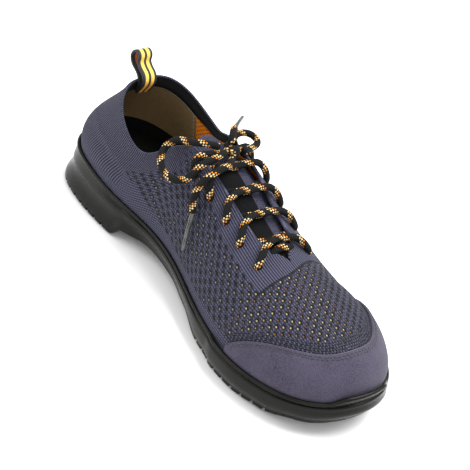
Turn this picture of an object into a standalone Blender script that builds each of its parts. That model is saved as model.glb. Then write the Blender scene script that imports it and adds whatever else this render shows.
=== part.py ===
"""Safety sneaker, left shoe: a knitted hollow upper on a moulded unit sole, with a suede toe cap.

Metres. +X points to the toe, +Y to the wearer's left (the outer side), +Z up. The origin is on the floor, at
the middle of the heel's flat tread. Every curved piece comes from one set of last functions: a feather line,
where upper and sole meet, a top edge round collar and throat, and a wall curve between them at each station.
"""

import math
from collections import namedtuple

import bmesh
import bpy
import numpy as np
from mathutils import Matrix, Vector

# Sizes of the last and the shoe
LAST_LENGTH = 0.288
BALL_HALF = 0.051
SOLE_HEEL = 0.031
COLLAR_BACK = 0.093
INSTEP = 0.088
HEEL_CENTRE = 0.040

# Walls, clearances and layers
WALL = 0.0022
CLEARANCE = 0.0003
SEAT_DEPTH = 0.004
CAP_THICKNESS = 0.0014
INSOLE_THICKNESS = 0.0045
INSOLE_GAP = 0.0012
INSOLE_RIM = 0.008
INSOLE_DISH = 0.0012
TONGUE_THICKNESS = 0.0032

# The sole's side and tread; the bumper rises between the two stations
FLARE = 0.0056
BEAD = 0.0013
BUMPER_RISE = 0.0045
BUMPER_FOOT = 10.75
BUMPER_PLATEAU = 11.35
LUG_DEPTH = 0.0035
LUG_PITCH = 0.0085
LUG_GROOVE = 0.0028
LUG_REACH = 0.017
LUG_TURN = math.radians(14)

# Lacing and trims
EYELET = 0.0054
LACE = 0.0046
AGLET = 0.0034
KNOT = 0.0125
KNOT_SHAPE = (1.0, 1.1, 0.8)
LOOP_WIDTH = 0.011
LOOP_THICKNESS = 0.0016
LOOP_RISE = 0.018

# Mesh fineness: columns along a side of the shoe, cells up a wall, steps along ribbon and cords
COLUMNS = 40
WALL_CELLS = 9
CAP_COLUMNS = 36
CAP_CELLS = 5
INSOLE_COLUMNS = 27
TONGUE_CELLS = 10
RIBBON_STEP = 0.0022
RUN_STEP = 1.5 * LACE
CORD_STEP = 1.8 * LACE
AGLET_STEP = 3 * LACE

Feather = namedtuple("Feather", "name x_inner y_inner x_outer y_outer height")
FEATHER_LINE = (
    # x in LAST_LENGTH, y in BALL_HALF, height in SOLE_HEEL
    Feather("heel_back", 0.000, 0.00, 0.000, 0.00, 1.00),
    Feather("heel_turn", 0.034, -0.46, 0.034, 0.46, 0.98),
    Feather("heel_side", 0.130, -0.64, 0.130, 0.68, 0.92),
    Feather("seat", 0.246, -0.67, 0.246, 0.74, 0.88),
    Feather("waist", 0.372, -0.60, 0.372, 0.78, 0.82),
    Feather("shank", 0.478, -0.66, 0.478, 0.85, 0.76),
    Feather("instep", 0.585, -0.83, 0.585, 0.93, 0.70),
    Feather("ball_rear", 0.691, -0.98, 0.691, 0.96, 0.66),
    Feather("ball", 0.783, -1.02, 0.774, 0.96, 0.66),
    Feather("tread", 0.860, -0.95, 0.850, 0.89, 0.69),
    Feather("cap", 0.934, -0.76, 0.926, 0.68, 0.75),
    Feather("toe_side", 0.984, -0.43, 0.982, 0.34, 0.84),
    Feather("toe_tip", 1.000, -0.05, 1.000, -0.05, 0.92),
)

TopEdge = namedtuple("TopEdge", "name x y_inner y_outer z_inner z_outer rise")
TOP_EDGE = (
    # x in LAST_LENGTH, y in BALL_HALF, z in the size named last
    TopEdge("heel_back", 0.092, 0.04, 0.04, 0.930, 0.930, COLLAR_BACK),
    TopEdge("heel_turn", 0.104, -0.25, 0.33, 0.915, 0.940, COLLAR_BACK),
    TopEdge("heel_side", 0.160, -0.52, 0.60, 0.810, 0.875, COLLAR_BACK),
    TopEdge("seat", 0.268, -0.56, 0.66, 0.700, 0.775, COLLAR_BACK),
    TopEdge("waist", 0.358, -0.38, 0.42, 0.920, 0.910, COLLAR_BACK),
    TopEdge("shank", 0.468, -0.32, 0.34, 0.950, 0.950, INSTEP),
    TopEdge("instep", 0.556, -0.27, 0.29, 0.835, 0.835, INSTEP),
    TopEdge("ball_rear", 0.650, -0.20, 0.22, 0.735, 0.735, INSTEP),
    TopEdge("ball", 0.700, 0.00, 0.00, 0.700, 0.700, INSTEP),
    TopEdge("tread", 0.786, -0.02, -0.02, 0.645, 0.645, INSTEP),
    TopEdge("cap", 0.847, -0.05, -0.05, 0.600, 0.600, INSTEP),
    TopEdge("toe_side", 0.875, -0.08, -0.08, 0.575, 0.575, INSTEP),
    TopEdge("toe_tip", 0.885, -0.09, -0.09, 0.565, 0.565, INSTEP),
)

Fullness = namedtuple("Fullness", "name low_out low_up high_out high_up")
WALL_FULLNESS = (
    # the wall curve's handles: low ones and high_up in the wall's rise, high_out in its reach
    Fullness("heel_back", 0.10, 0.40, 0.30, -0.35),
    Fullness("heel_turn", 0.10, 0.40, 0.30, -0.32),
    Fullness("heel_side", 0.12, 0.38, 0.22, -0.30),
    Fullness("seat", 0.12, 0.36, 0.15, -0.25),
    Fullness("waist", 0.12, 0.36, 0.18, -0.22),
    Fullness("shank", 0.10, 0.40, 0.30, -0.16),
    Fullness("instep", 0.06, 0.38, 0.33, -0.12),
    Fullness("ball_rear", 0.05, 0.36, 0.35, -0.08),
    Fullness("ball", 0.07, 0.40, 0.45, -0.01),
    Fullness("tread", 0.08, 0.50, 0.55, 0.00),
    Fullness("cap", 0.09, 0.56, 0.52, 0.00),
    Fullness("toe_side", 0.08, 0.64, 0.50, 0.00),
    Fullness("toe_tip", 0.07, 0.68, 0.50, 0.00),
)

SoleSide = namedtuple("SoleSide", "name ridge wall_inner wall_outer flare_inner flare_outer")
SOLE_SIDES = (
    # ridge in the side's height below the bead, the rest in FLARE
    SoleSide("heel_back", 0.36, 0.20, 0.20, 1.00, 1.00),
    SoleSide("heel_turn", 0.36, 0.20, 0.20, 1.00, 1.00),
    SoleSide("heel_side", 0.34, 0.20, 0.20, 0.95, 0.95),
    SoleSide("seat", 0.26, 0.20, 0.20, 0.75, 0.80),
    SoleSide("waist", 0.22, 0.05, 0.20, 0.00, 0.45),
    SoleSide("shank", 0.20, 0.00, 0.30, -0.10, 0.40),
    SoleSide("instep", 0.20, 0.20, 0.45, -0.05, 0.30),
    SoleSide("ball_rear", 0.22, 0.40, 0.45, -0.05, 0.15),
    SoleSide("ball", 0.22, 0.40, 0.45, -0.10, 0.10),
    SoleSide("tread", 0.22, 0.45, 0.45, -0.10, 0.00),
    SoleSide("cap", 0.22, 0.55, 0.55, -0.05, 0.00),
    SoleSide("toe_side", 0.24, 0.65, 0.65, 0.10, 0.10),
    SoleSide("toe_tip", 0.26, 0.70, 0.70, 0.05, 0.05),
)

Tread = namedtuple("Tread", "x inner outer")
TREAD_LINE = (
    # x in LAST_LENGTH, height of the tread above the floor in SOLE_HEEL
    Tread(-0.05, 0.12, 0.12),
    Tread(0.020, 0.00, 0.00),
    Tread(0.260, 0.00, 0.00),
    Tread(0.292, 0.26, 0.22),
    Tread(0.380, 0.34, 0.24),
    Tread(0.480, 0.30, 0.20),
    Tread(0.560, 0.22, 0.10),
    Tread(0.650, 0.00, 0.00),
    Tread(0.800, 0.00, 0.00),
    Tread(0.880, 0.06, 0.06),
    Tread(0.950, 0.20, 0.20),
    Tread(1.050, 0.46, 0.46),
)

TreadPad = namedtuple("TreadPad", "name start stop")
TREAD_PADS = (
    # where the lugs run, in LAST_LENGTH
    TreadPad("heel", 0.050, 0.245),
    TreadPad("forefoot", 0.650, 0.900),
)

EyeletRow = namedtuple("EyeletRow", "station inset")
EYELET_ROWS = (
    # a pair of lace holes each, toe end first; inset from the throat's edge in metres
    EyeletRow(7.20, 0.0140),
    EyeletRow(6.45, 0.0110),
    EyeletRow(5.85, 0.0105),
    EyeletRow(5.15, 0.0105),
    EyeletRow(4.55, 0.0105),
)

# The tongue reaches under the throat's edges by a share of the wall, and its crown takes the middle
TONGUE_UNDER = 0.24
TONGUE_CROWN = 0.32
TongueRow = namedtuple("TongueRow", "station crown back spread")
TONGUE_ROWS = (
    # crown lifts the middle and back draws a section to the heel, in metres; spread is its width share
    TongueRow(8.6, 0.0000, 0.000, 0.62),
    TongueRow(8.0, 0.0000, 0.000, 0.70),
    TongueRow(7.4, 0.0005, 0.000, 0.78),
    TongueRow(6.8, 0.0005, 0.000, 0.86),
    TongueRow(6.2, 0.0010, 0.000, 0.92),
    TongueRow(5.6, 0.0015, 0.000, 1.00),
    TongueRow(5.0, 0.0020, 0.000, 1.00),
    TongueRow(4.4, 0.0032, 0.000, 1.00),
    TongueRow(4.1, 0.0050, 0.002, 1.00),
    TongueRow(4.1, 0.0070, 0.005, 0.86),
    TongueRow(4.1, 0.0065, 0.008, 0.60),
)

# Heights on the wall where the ribbon's sewn tails run, inside the collar's back edge
LOOP_TAILS = (0.90, 0.96)
LoopFold = namedtuple("LoopFold", "name forward rise")
LOOP_FOLDS = (
    # the ribbon from its rear foot over the top to its front foot, from the collar's edge, in LOOP_RISE
    LoopFold("rear_foot", 0.12, 0.10),
    LoopFold("rear_neck", -0.08, 0.28),
    LoopFold("rear_bow", -0.39, 0.43),
    LoopFold("rear_side", -0.54, 0.65),
    LoopFold("rear_turn", -0.48, 0.89),
    LoopFold("top", -0.31, 1.00),
    LoopFold("front_turn", -0.13, 0.89),
    LoopFold("front_side", -0.12, 0.67),
    LoopFold("front_bow", 0.06, 0.47),
    LoopFold("front_neck", 0.33, 0.32),
    LoopFold("front_foot", 0.42, 0.10),
)

# Routes of the knot's loops and ends, in metres in the part's frame
KNOT_CENTRE = (0.083, 0.002, 0.092)
NEAR_LOOP = (
    (0.0795, -0.0052, 0.0945), (0.0760, -0.0120, 0.0955), (0.0670, -0.0190, 0.0925),
    (0.0600, -0.0225, 0.0900), (0.0565, -0.0275, 0.0840), (0.0605, -0.0335, 0.0790),
    (0.0700, -0.0370, 0.0755), (0.0790, -0.0360, 0.0755), (0.0850, -0.0305, 0.0790),
    (0.0880, -0.0250, 0.0893), (0.0890, -0.0180, 0.0932), (0.0868, -0.0060, 0.0948),
)
FAR_LOOP = (
    (0.0785, 0.0085, 0.0935), (0.0725, 0.0140, 0.0945), (0.0720, 0.0200, 0.0950),
    (0.0765, 0.0255, 0.0945), (0.0810, 0.0260, 0.0930), (0.0845, 0.0195, 0.0920),
    (0.0860, 0.0112, 0.0925),
)
UP_END = (
    (0.0818, 0.0018, 0.0981), (0.0813, 0.0022, 0.1004), (0.0790, 0.0042, 0.1023),
    (0.0750, 0.0085, 0.1025),
)
UP_AGLET = ((0.0748, 0.0088, 0.1025), (0.0685, 0.0175, 0.1015), (0.0620, 0.0265, 0.0995))
DOWN_END = (
    (0.0905, -0.0020, 0.0912), (0.0950, -0.0090, 0.0915), (0.0970, -0.0160, 0.0912),
    (0.0975, -0.0235, 0.0888), (0.0958, -0.0288, 0.0808), (0.0957, -0.0308, 0.0720),
    (0.0995, -0.0320, 0.0632),
)
DOWN_AGLET = ((0.0998, -0.0322, 0.0628), (0.1035, -0.0362, 0.0525), (0.1080, -0.0398, 0.0415))

# The toe cap's back edge, seen from above, is a rounded V that spans the ball
CAP_MIDDLE = 0.937 * LAST_LENGTH
CAP_ENDS = 0.750 * LAST_LENGTH
CAP_CURVE = 2.5
CAP_SPREAD = 0.98 * BALL_HALF

TOE = len(FEATHER_LINE) - 1
TURN = 2 * TOE
THROAT_BASE = 8


# The last: closed splines through the tables

def closed_loop(inner, outer):
    """One value a station, heel to toe on the inner side and back along the outer side."""
    return np.array(list(inner) + list(outer[-2:0:-1]), float)


def closed_spline(values, knots):
    """Second derivatives of the periodic cubic through values at knots."""
    count = len(values)
    spans = np.diff(knots)
    system = np.zeros((count, count))
    right = np.zeros(count)
    for i in range(count):
        after = (i + 1) % count
        system[i, i - 1] += spans[i - 1]
        system[i, i] += 2 * (spans[i - 1] + spans[i])
        system[i, after] += spans[i]
        right[i] = 6 * (
            (values[after] - values[i]) / spans[i] - (values[i] - values[i - 1]) / spans[i - 1]
        )
    return np.linalg.solve(system, right)


class Last:
    """The shoe's form, read at a station from 0 (heel) over 12 (toe) to 24 (heel again)."""

    def __init__(self):
        line, top, full = FEATHER_LINE, TOP_EDGE, WALL_FULLNESS
        rises = [row.rise for row in top]
        self.values = {
            "x": closed_loop([r.x_inner for r in line], [r.x_outer for r in line]) * LAST_LENGTH,
            "y": closed_loop([r.y_inner for r in line], [r.y_outer for r in line]) * BALL_HALF,
            "z": closed_loop([r.height for r in line], [r.height for r in line]) * SOLE_HEEL,
            "top_x": closed_loop([r.x for r in top], [r.x for r in top]) * LAST_LENGTH,
            "top_y": closed_loop([r.y_inner for r in top], [r.y_outer for r in top]) * BALL_HALF,
            "top_z": closed_loop(
                [r.z_inner * rise for r, rise in zip(top, rises)],
                [r.z_outer * rise for r, rise in zip(top, rises)],
            ),
        }
        for name in Fullness._fields[1:]:
            column = [getattr(row, name) for row in full]
            self.values[name] = closed_loop(column, column)
        outline = np.stack([self.values["x"], self.values["y"]], 1)
        steps = np.linalg.norm(np.roll(outline, -1, 0) - outline, axis=1)
        self.knots = np.concatenate([[0.0], np.cumsum(steps)])
        self.bends = {name: closed_spline(v, self.knots) for name, v in self.values.items()}

    def read(self, name, station):
        """A column of the tables at any station, on its closed spline."""
        values, bends, knots = self.values[name], self.bends[name], self.knots
        count = len(values)
        place = np.interp(np.mod(station, TURN), np.arange(count + 1), knots)
        k = np.clip(np.searchsorted(knots, place, side="right") - 1, 0, count - 1)
        after = (k + 1) % count
        span = knots[k + 1] - knots[k]
        d = place - knots[k]
        slope = (values[after] - values[k]) / span - span * (2 * bends[k] + bends[after]) / 6
        return values[k] + d * slope + d**2 * bends[k] / 2 + d**3 * (bends[after] - bends[k]) / (6 * span)

    def feather(self, station):
        return np.stack([self.read(name, station) for name in ("x", "y", "z")], -1)

    def top(self, station):
        """The top edge; past the throat's base both sides share one ridge."""
        station = np.asarray(station, float)
        here = np.stack([self.read(n, station) for n in ("top_x", "top_y", "top_z")], -1)
        across = np.stack([self.read(n, TURN - station) for n in ("top_x", "top_y", "top_z")], -1)
        on_ridge = np.minimum(station, TURN - station) >= THROAT_BASE
        return np.where(on_ridge[..., None], (here + across) / 2, here)

    def outward(self, station):
        """The flat direction out of the shoe, square to the feather line."""
        step = 0.02
        ahead = self.feather(np.asarray(station, float) + step)
        behind = self.feather(np.asarray(station, float) - step)
        along = (ahead - behind)[..., :2]
        out = np.stack([along[..., 1], -along[..., 0]], -1)
        out /= np.linalg.norm(out, axis=-1, keepdims=True)
        return np.concatenate([out, np.zeros(out.shape[:-1] + (1,))], -1)

    def wall(self, station, height):
        """A point of the upper's outer face; height runs from 0, the feather line, to 1, the top edge."""
        station, height = np.broadcast_arrays(np.asarray(station, float), np.asarray(height, float))
        low = self.feather(station)
        high = self.top(station)
        flat = (low - high) * np.array([1.0, 1.0, 0.0])
        reach = np.linalg.norm(flat, axis=-1, keepdims=True)
        away = flat / np.maximum(reach, 1e-6)
        rise = (high - low)[..., 2:]
        up = np.array([0.0, 0.0, 1.0])
        full = {n: self.read(n, station)[..., None] for n in Fullness._fields[1:]}
        low_handle = low + away * full["low_out"] * rise + up * full["low_up"] * rise
        high_handle = high + away * full["high_out"] * reach + up * full["high_up"] * rise
        t = height[..., None]
        s = 1 - t
        return s**3 * low + 3 * s * s * t * low_handle + 3 * s * t * t * high_handle + t**3 * high

    def face_out(self, station, height):
        """The unit normal of the upper's outer face."""
        station = np.asarray(station, float)
        height = np.asarray(height, float)
        beside = np.minimum(height, 0.96)
        along = self.wall(station + 0.03, beside) - self.wall(station - 0.03, beside)
        low = np.clip(height - 0.02, 0.0, 0.94)
        up = self.wall(station, low + 0.04) - self.wall(station, low)
        normal = np.cross(along, up)
        return normal / np.linalg.norm(normal, axis=-1, keepdims=True)

    def skin(self, station, height, offset):
        """The upper's outer face moved out by offset, or in where it is negative."""
        return self.wall(station, height) + self.face_out(station, height) * offset


LAST = Last()
ORIGIN = np.array([HEEL_CENTRE, 0.0, 0.0])


def past_cap_edge(points):
    """How far points lie in front of the toe cap's back edge."""
    middle = BALL_HALF * FEATHER_LINE[-1].y_inner
    sweep = (CAP_MIDDLE - CAP_ENDS) * (np.abs(points[..., 1] - middle) / CAP_SPREAD) ** CAP_CURVE
    return points[..., 0] - (CAP_MIDDLE - sweep)


def cap_end(stations):
    """The station where the cap's back edge meets the feather line."""
    return float(np.interp(0.0, past_cap_edge(LAST.feather(stations)), stations))


def cap_height(station):
    """How far up the wall the cap reaches at a station."""
    heights = np.linspace(0.0, 0.98, 99)
    ahead = past_cap_edge(LAST.wall(np.full(heights.shape, station), heights))
    behind = np.nonzero(ahead < 0)[0]
    if len(behind) == 0:
        return float(heights[-1])
    k = max(int(behind[0]), 1)
    share = ahead[k - 1] / max(ahead[k - 1] - ahead[k], 1e-9)
    return float(max(heights[k - 1] + share * (heights[k] - heights[k - 1]), 0.02))


CAP_START = cap_end(np.linspace(TOE / 2, TOE - 2, 120))
CAP_STOP = cap_end(np.linspace(TURN - TOE / 2, TOE + 2, 120))


def eased(knots, values, at):
    """Values joined by soft steps that never overshoot."""
    at = np.clip(at, knots[0], knots[-1])
    k = np.clip(np.searchsorted(knots, at, side="right") - 1, 0, len(knots) - 2)
    f = (at - knots[k]) / (knots[k + 1] - knots[k])
    f = f * f * (3 - 2 * f)
    return values[k] * (1 - f) + values[k + 1] * f


def side_value(name, station):
    """A column of SOLE_SIDES at a station; wall and flare have one each for the two sides."""
    column = name
    if name in ("wall", "flare"):
        column = name + ("_inner" if station <= TOE else "_outer")
    values = np.array([getattr(row, column) for row in SOLE_SIDES])
    return float(eased(np.arange(TOE + 1.0), values, min(station, TURN - station)))


def tread_height(x, on_inner):
    knots = np.array([row.x for row in TREAD_LINE]) * LAST_LENGTH
    values = np.array([row.inner if on_inner else row.outer for row in TREAD_LINE]) * SOLE_HEEL
    return float(eased(knots, values, x))


# Meshes

def material(name, colour, roughness, metallic=0.0):
    made = bpy.data.materials.new(name)
    made.use_nodes = True
    shader = made.node_tree.nodes["Principled BSDF"]
    shader.inputs["Base Color"].default_value = (*colour, 1.0)
    shader.inputs["Roughness"].default_value = roughness
    shader.inputs["Metallic"].default_value = metallic
    return made


def add_object(name, mesh, surface, collection):
    piece = bpy.data.objects.new(name, mesh)
    collection.objects.link(piece)
    if surface:
        piece.data.materials.append(surface)
    return piece


def mesh_from_grid(name, grid, closed_rows=False):
    """A mesh over grid[column][row], faces out where columns x rows turns outward, doubles welded."""
    grid = np.asarray(grid)
    columns, rows = grid.shape[:2]
    points = (grid - ORIGIN).reshape(-1, 3)
    faces = []
    for i in range(columns - 1):
        for j in range(rows if closed_rows else rows - 1):
            a = i * rows + j
            b = (i + 1) * rows + j
            c = (i + 1) * rows + (j + 1) % rows
            d = i * rows + (j + 1) % rows
            faces.append((a, b, c, d))
    mesh = bpy.data.meshes.new(name)
    mesh.from_pydata([tuple(p) for p in points], [], faces)
    shape = bmesh.new()
    shape.from_mesh(mesh)
    bmesh.ops.remove_doubles(shape, verts=shape.verts, dist=0.00005)
    bmesh.ops.dissolve_degenerate(shape, edges=shape.edges, dist=0.00001)
    shape.to_mesh(mesh)
    shape.free()
    return mesh


def face_outward(mesh):
    """Turns a closed mesh's faces outward."""
    shape = bmesh.new()
    shape.from_mesh(mesh)
    bmesh.ops.recalc_face_normals(shape, faces=shape.faces)
    shape.to_mesh(mesh)
    shape.free()


def smooth(piece, angle=40):
    piece.data.shade_smooth()
    piece.data.set_sharp_from_angle(angle=math.radians(angle))


def add_cutter(name, mesh, collection):
    """A piece that only shapes others."""
    cutter = add_object(name, mesh, None, collection)
    cutter.hide_render = True
    cutter.display_type = "WIRE"
    return cutter


def cut(piece, cutter, operation="DIFFERENCE"):
    """A Boolean that stays on the piece as a modifier."""
    tool = piece.modifiers.new(operation.title(), "BOOLEAN")
    tool.operation = operation
    tool.object = cutter
    tool.solver = "EXACT"


def applied(piece):
    """Bakes a piece's modifiers into its mesh, and a curve into a mesh."""
    bpy.context.view_layer.update()
    shaped = piece.evaluated_get(bpy.context.evaluated_depsgraph_get())
    mesh = bpy.data.meshes.new_from_object(shaped)
    shape = bmesh.new()
    shape.from_mesh(mesh)
    bmesh.ops.remove_doubles(shape, verts=shape.verts, dist=0.00001)
    shape.to_mesh(mesh)
    shape.free()
    return mesh


# Sole

LIP_TURN = 0.5


def lip_offset(station):
    """How far outside the upper the lip's inner face stands: more where the toe cap lies between."""
    near = min(station, TURN - station)
    start = min(CAP_START, TURN - CAP_STOP)
    share = float(eased(np.array([start - LIP_TURN, start - 0.1]), np.array([0.0, 1.0]), near))
    return CLEARANCE + share * (CAP_THICKNESS + CLEARANCE)


def bumper(station):
    """The toe bumper's plateau, 1 on it and 0 beside it."""
    near = min(station, TURN - station)
    return float(eased(np.array([BUMPER_FOOT, BUMPER_PLATEAU]), np.array([0.0, 1.0]), near))


def seat_height(station):
    """The sole's floor under the upper's edge."""
    return float(LAST.read("z", station)) - SEAT_DEPTH - CLEARANCE


def sole_profile(station):
    """One side's section from the seat out over the lip and its bead, past the ridge, down to the tread."""
    base = LAST.feather(station)
    out = LAST.outward(station)
    lip = lip_offset(station)
    wall = FLARE * side_value("wall", station)
    flare = FLARE * side_value("flare", station)
    rise = bumper(station) * BUMPER_RISE
    seat = seat_height(station)
    top = base[2]
    bottom = tread_height((base + out * (lip + flare))[0], station <= TOE)
    side = top - bottom
    ridge = top - side_value("ridge", station) * side
    steps = (
        (-3 * SEAT_DEPTH / 2, seat),
        (lip, seat),
        (lip, top),
        (lip + 0.3 * rise, top + rise),
        (lip + 0.3 * rise + BEAD, top + rise + 0.3 * BEAD),
        (lip + 0.3 * rise + 2 * BEAD, top + rise - 0.7 * BEAD),
        (lip + 0.8 * BEAD, top - 2.2 * BEAD),
        (lip + 1.9 * BEAD, ridge + 0.8 * BEAD),
        (lip + 2.1 * BEAD, ridge - 0.8 * BEAD),
        (lip + 0.4 * BEAD + wall, bottom + 0.45 * side),
        (lip + flare, bottom + 0.16 * side),
        (lip + flare, bottom + 0.05 * side),
        (lip + flare - 1.2 * BEAD, bottom),
        (-2 * SEAT_DEPTH, bottom),
    )
    return [base * np.array([1, 1, 0]) + out * away + np.array([0, 0, z]) for away, z in steps]


def build_sole(surface, collection, cutters):
    """The unit sole, lofted through closed sections from heel to toe, its lugs cut afterwards."""
    sections = []
    for station in np.linspace(0, TOE, COLUMNS + 1):
        inner = sole_profile(station)
        outer = inner if station in (0, TOE) else sole_profile(TURN - station)
        sections.append(inner[::-1] + outer)
    mesh = mesh_from_grid("sole", sections, closed_rows=True)
    face_outward(mesh)
    sole = add_object("sole", mesh, surface, collection)
    cut(sole, lug_grooves(cutters))
    smooth(sole, 32)
    return sole


def lug_grooves(collection):
    """Notches in the tread's rim under heel and forefoot, and cross grooves down its middle."""
    shape = bmesh.new()
    for pad in TREAD_PADS:
        count = int((pad.stop - pad.start) * LAST_LENGTH / LUG_PITCH)
        for i in range(count + 1):
            x = pad.start * LAST_LENGTH + i * LUG_PITCH
            edges = {}
            for inner in (True, False):
                edges[inner] = LAST.feather(station_at(x, inner))[1]
                place = Vector((x - HEEL_CENTRE, edges[inner], tread_height(x, inner)))
                add_groove(shape, place, 2 * LUG_REACH, LUG_TURN if inner else -LUG_TURN)
            if i % 2 == 0:
                middle = (edges[True] + edges[False]) / 2
                width = edges[False] - edges[True] - 2 * LUG_REACH - 4 * LUG_GROOVE
                height = max(tread_height(x, True), tread_height(x, False))
                add_groove(shape, Vector((x - HEEL_CENTRE, middle, height)), width, 0.0)
    mesh = bpy.data.meshes.new("lug_grooves")
    shape.to_mesh(mesh)
    shape.free()
    return add_cutter("lug_grooves", mesh, collection)


def add_groove(shape, place, length, turn):
    """A block that cuts one groove, centred on the tread's surface."""
    box = bmesh.ops.create_cube(shape, size=1.0)
    size = Matrix.Diagonal((LUG_GROOVE, length, 2 * LUG_DEPTH, 1.0))
    matrix = Matrix.Translation(place) @ Matrix.Rotation(turn, 4, "Z") @ size
    bmesh.ops.transform(shape, matrix=matrix, verts=box["verts"])


def station_at(x, inner):
    """The station of the feather line's point at x, on the inner or the outer side."""
    stations = np.linspace(0, TOE, 240) if inner else np.linspace(TURN, TOE, 240)
    return float(np.interp(x, LAST.read("x", stations), stations))


# Upper

def wall_heights():
    """Even heights up the wall, from the feather line to the top edge."""
    return np.linspace(0.0, 1.0, WALL_CELLS + 1)


def upper_columns(stations, offset=0.0):
    """Columns of the upper's face, each with its tuck down onto the sole's seat."""
    grid = []
    for station in stations:
        column = LAST.skin(station, wall_heights(), offset)
        foot = LAST.feather(station) + LAST.outward(station) * offset
        tuck = foot - np.array([0, 0, SEAT_DEPTH])
        column[0] = foot
        grid.append(np.vstack([tuck[None], column]))
    return grid


def eyelet(row, inner):
    """The centre of a lace hole and the direction out of it."""
    station = row.station if inner else TURN - row.station
    heights = np.linspace(0.4, 1.0, 61)
    face = LAST.wall(np.full(heights.shape, station), heights)
    steps = np.linalg.norm(np.diff(face, axis=0), axis=1)
    below_edge = np.append(np.cumsum(steps[::-1])[::-1], 0.0)
    height = np.interp(row.inset, below_edge[::-1], heights[::-1])
    return LAST.wall(station, height), LAST.face_out(station, height)


def build_upper(surface, collection, cutters):
    """The knitted upper: one outer face with a wall grown inward, open at collar, throat and foot."""
    inner = upper_columns(np.linspace(0, TOE, COLUMNS + 1))
    outer = upper_columns(np.linspace(TOE, TURN, COLUMNS + 1))
    mesh = mesh_from_grid("upper", inner + outer[1:])
    upper = add_object("upper", mesh, surface, collection)
    shell = upper.modifiers.new("Wall", "SOLIDIFY")
    shell.thickness = WALL
    shell.offset = -1
    shell.use_even_offset = True
    shape = bmesh.new()
    for row in EYELET_ROWS:
        for inner in (True, False):
            centre, out = eyelet(row, inner)
            hole = bmesh.ops.create_cone(
                shape, cap_ends=True, segments=8, radius1=EYELET / 2, radius2=EYELET / 2, depth=6 * WALL
            )
            turn = Vector(out).to_track_quat("Z", "Y").to_matrix().to_4x4()
            place = Matrix.Translation(Vector(centre - ORIGIN)) @ turn
            bmesh.ops.transform(shape, matrix=place, verts=hole["verts"])
    mesh = bpy.data.meshes.new("eyelet_holes")
    shape.to_mesh(mesh)
    shape.free()
    cut(upper, add_cutter("eyelet_holes", mesh, cutters))
    smooth(upper)
    return upper


# Toe cap, insole and tongue

def build_toe_cap(surface, collection):
    """The suede toe cap: a strip of the upper's own face, from the seat up to the cap's edge."""
    tuck = SEAT_DEPTH - CLEARANCE
    grid = []
    for station in np.linspace(CAP_START, CAP_STOP, CAP_COLUMNS + 1):
        heights = np.linspace(0, 1, CAP_CELLS + 1) * cap_height(station)
        foot = LAST.feather(station)
        out = LAST.outward(station)
        low, high = CLEARANCE, CLEARANCE + CAP_THICKNESS
        inside = LAST.skin(station, heights, low)
        outside = LAST.skin(station, heights, high)
        inside[0] = foot + out * low
        outside[0] = foot + out * high
        down = np.array([0, 0, tuck])
        grid.append(
            np.vstack([(inside[0] - down)[None], inside, outside[::-1], (outside[0] - down)[None]])
        )
    mesh = capped_tube("toe_cap", grid)
    cap = add_object("toe_cap", mesh, surface, collection)
    smooth(cap)
    return cap


def capped_tube(name, sections):
    """A closed mesh through closed sections, with its two ends filled."""
    sections = np.asarray(sections)
    count, rows = sections.shape[:2]
    points = (sections - ORIGIN).reshape(-1, 3)
    faces = []
    for i in range(count - 1):
        for j in range(rows):
            here, ahead, above = i * rows, (i + 1) * rows, (j + 1) % rows
            faces.append((here + j, ahead + j, ahead + above, here + above))
    half = rows // 2
    for start in (0, (count - 1) * rows):
        for j in range(half - 1):
            faces.append(
                (start + j, start + j + 1, start + rows - 2 - j, start + rows - 1 - j)
            )
    mesh = bpy.data.meshes.new(name)
    mesh.from_pydata([tuple(p) for p in points], [], faces)
    face_outward(mesh)
    return mesh


def build_insole(surface, collection):
    """The footbed: it fills the sole's seat inside the upper's wall, and its middle is dished."""
    inset = WALL + INSOLE_GAP
    sections = []
    for station in np.linspace(0, TOE, INSOLE_COLUMNS + 1):
        sides = []
        for place in (station, TURN - station):
            foot = LAST.feather(place) * np.array([1, 1, 0]) - LAST.outward(place) * inset
            low = seat_height(place) + CLEARANCE
            high = low + INSOLE_THICKNESS
            inward = -LAST.outward(place)
            sides.append(
                [
                    foot + inward * INSOLE_RIM + np.array([0, 0, low]),
                    foot + np.array([0, 0, low]),
                    foot + np.array([0, 0, high]),
                    foot + inward * INSOLE_RIM + np.array([0, 0, high - INSOLE_DISH]),
                ]
            )
        inner, outer = sides
        sections.append(inner + (inner if station in (0, TOE) else outer)[::-1])
    mesh = mesh_from_grid("insole", sections, closed_rows=True)
    face_outward(mesh)
    insole = add_object("insole", mesh, surface, collection)
    smooth(insole)
    return insole


def tongue_section(row):
    """Points across the tongue's outer face, from under one throat edge to under the other."""
    depth = WALL + 2 * CLEARANCE
    inner_low = LAST.skin(row.station, 1 - TONGUE_UNDER, -depth)
    inner_high = LAST.skin(row.station, 1.0, -depth)
    outer_high = LAST.skin(TURN - row.station, 1.0, -depth)
    outer_low = LAST.skin(TURN - row.station, 1 - TONGUE_UNDER, -depth)
    middle = (inner_low + outer_low) / 2
    section = []
    for f in np.linspace(0, 1, TONGUE_CELLS + 1):
        s = 1 - f
        point = (
            s**3 * inner_low + 3 * s * s * f * inner_high
            + 3 * s * f * f * outer_high + f**3 * outer_low
        )
        point = middle + (point - middle) * np.array([1, row.spread, 1])
        lift = row.crown * max(0.0, 1 - ((f - 0.5) / TONGUE_CROWN) ** 2)
        section.append(point + np.array([-row.back, 0, lift]))
    return section


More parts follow.
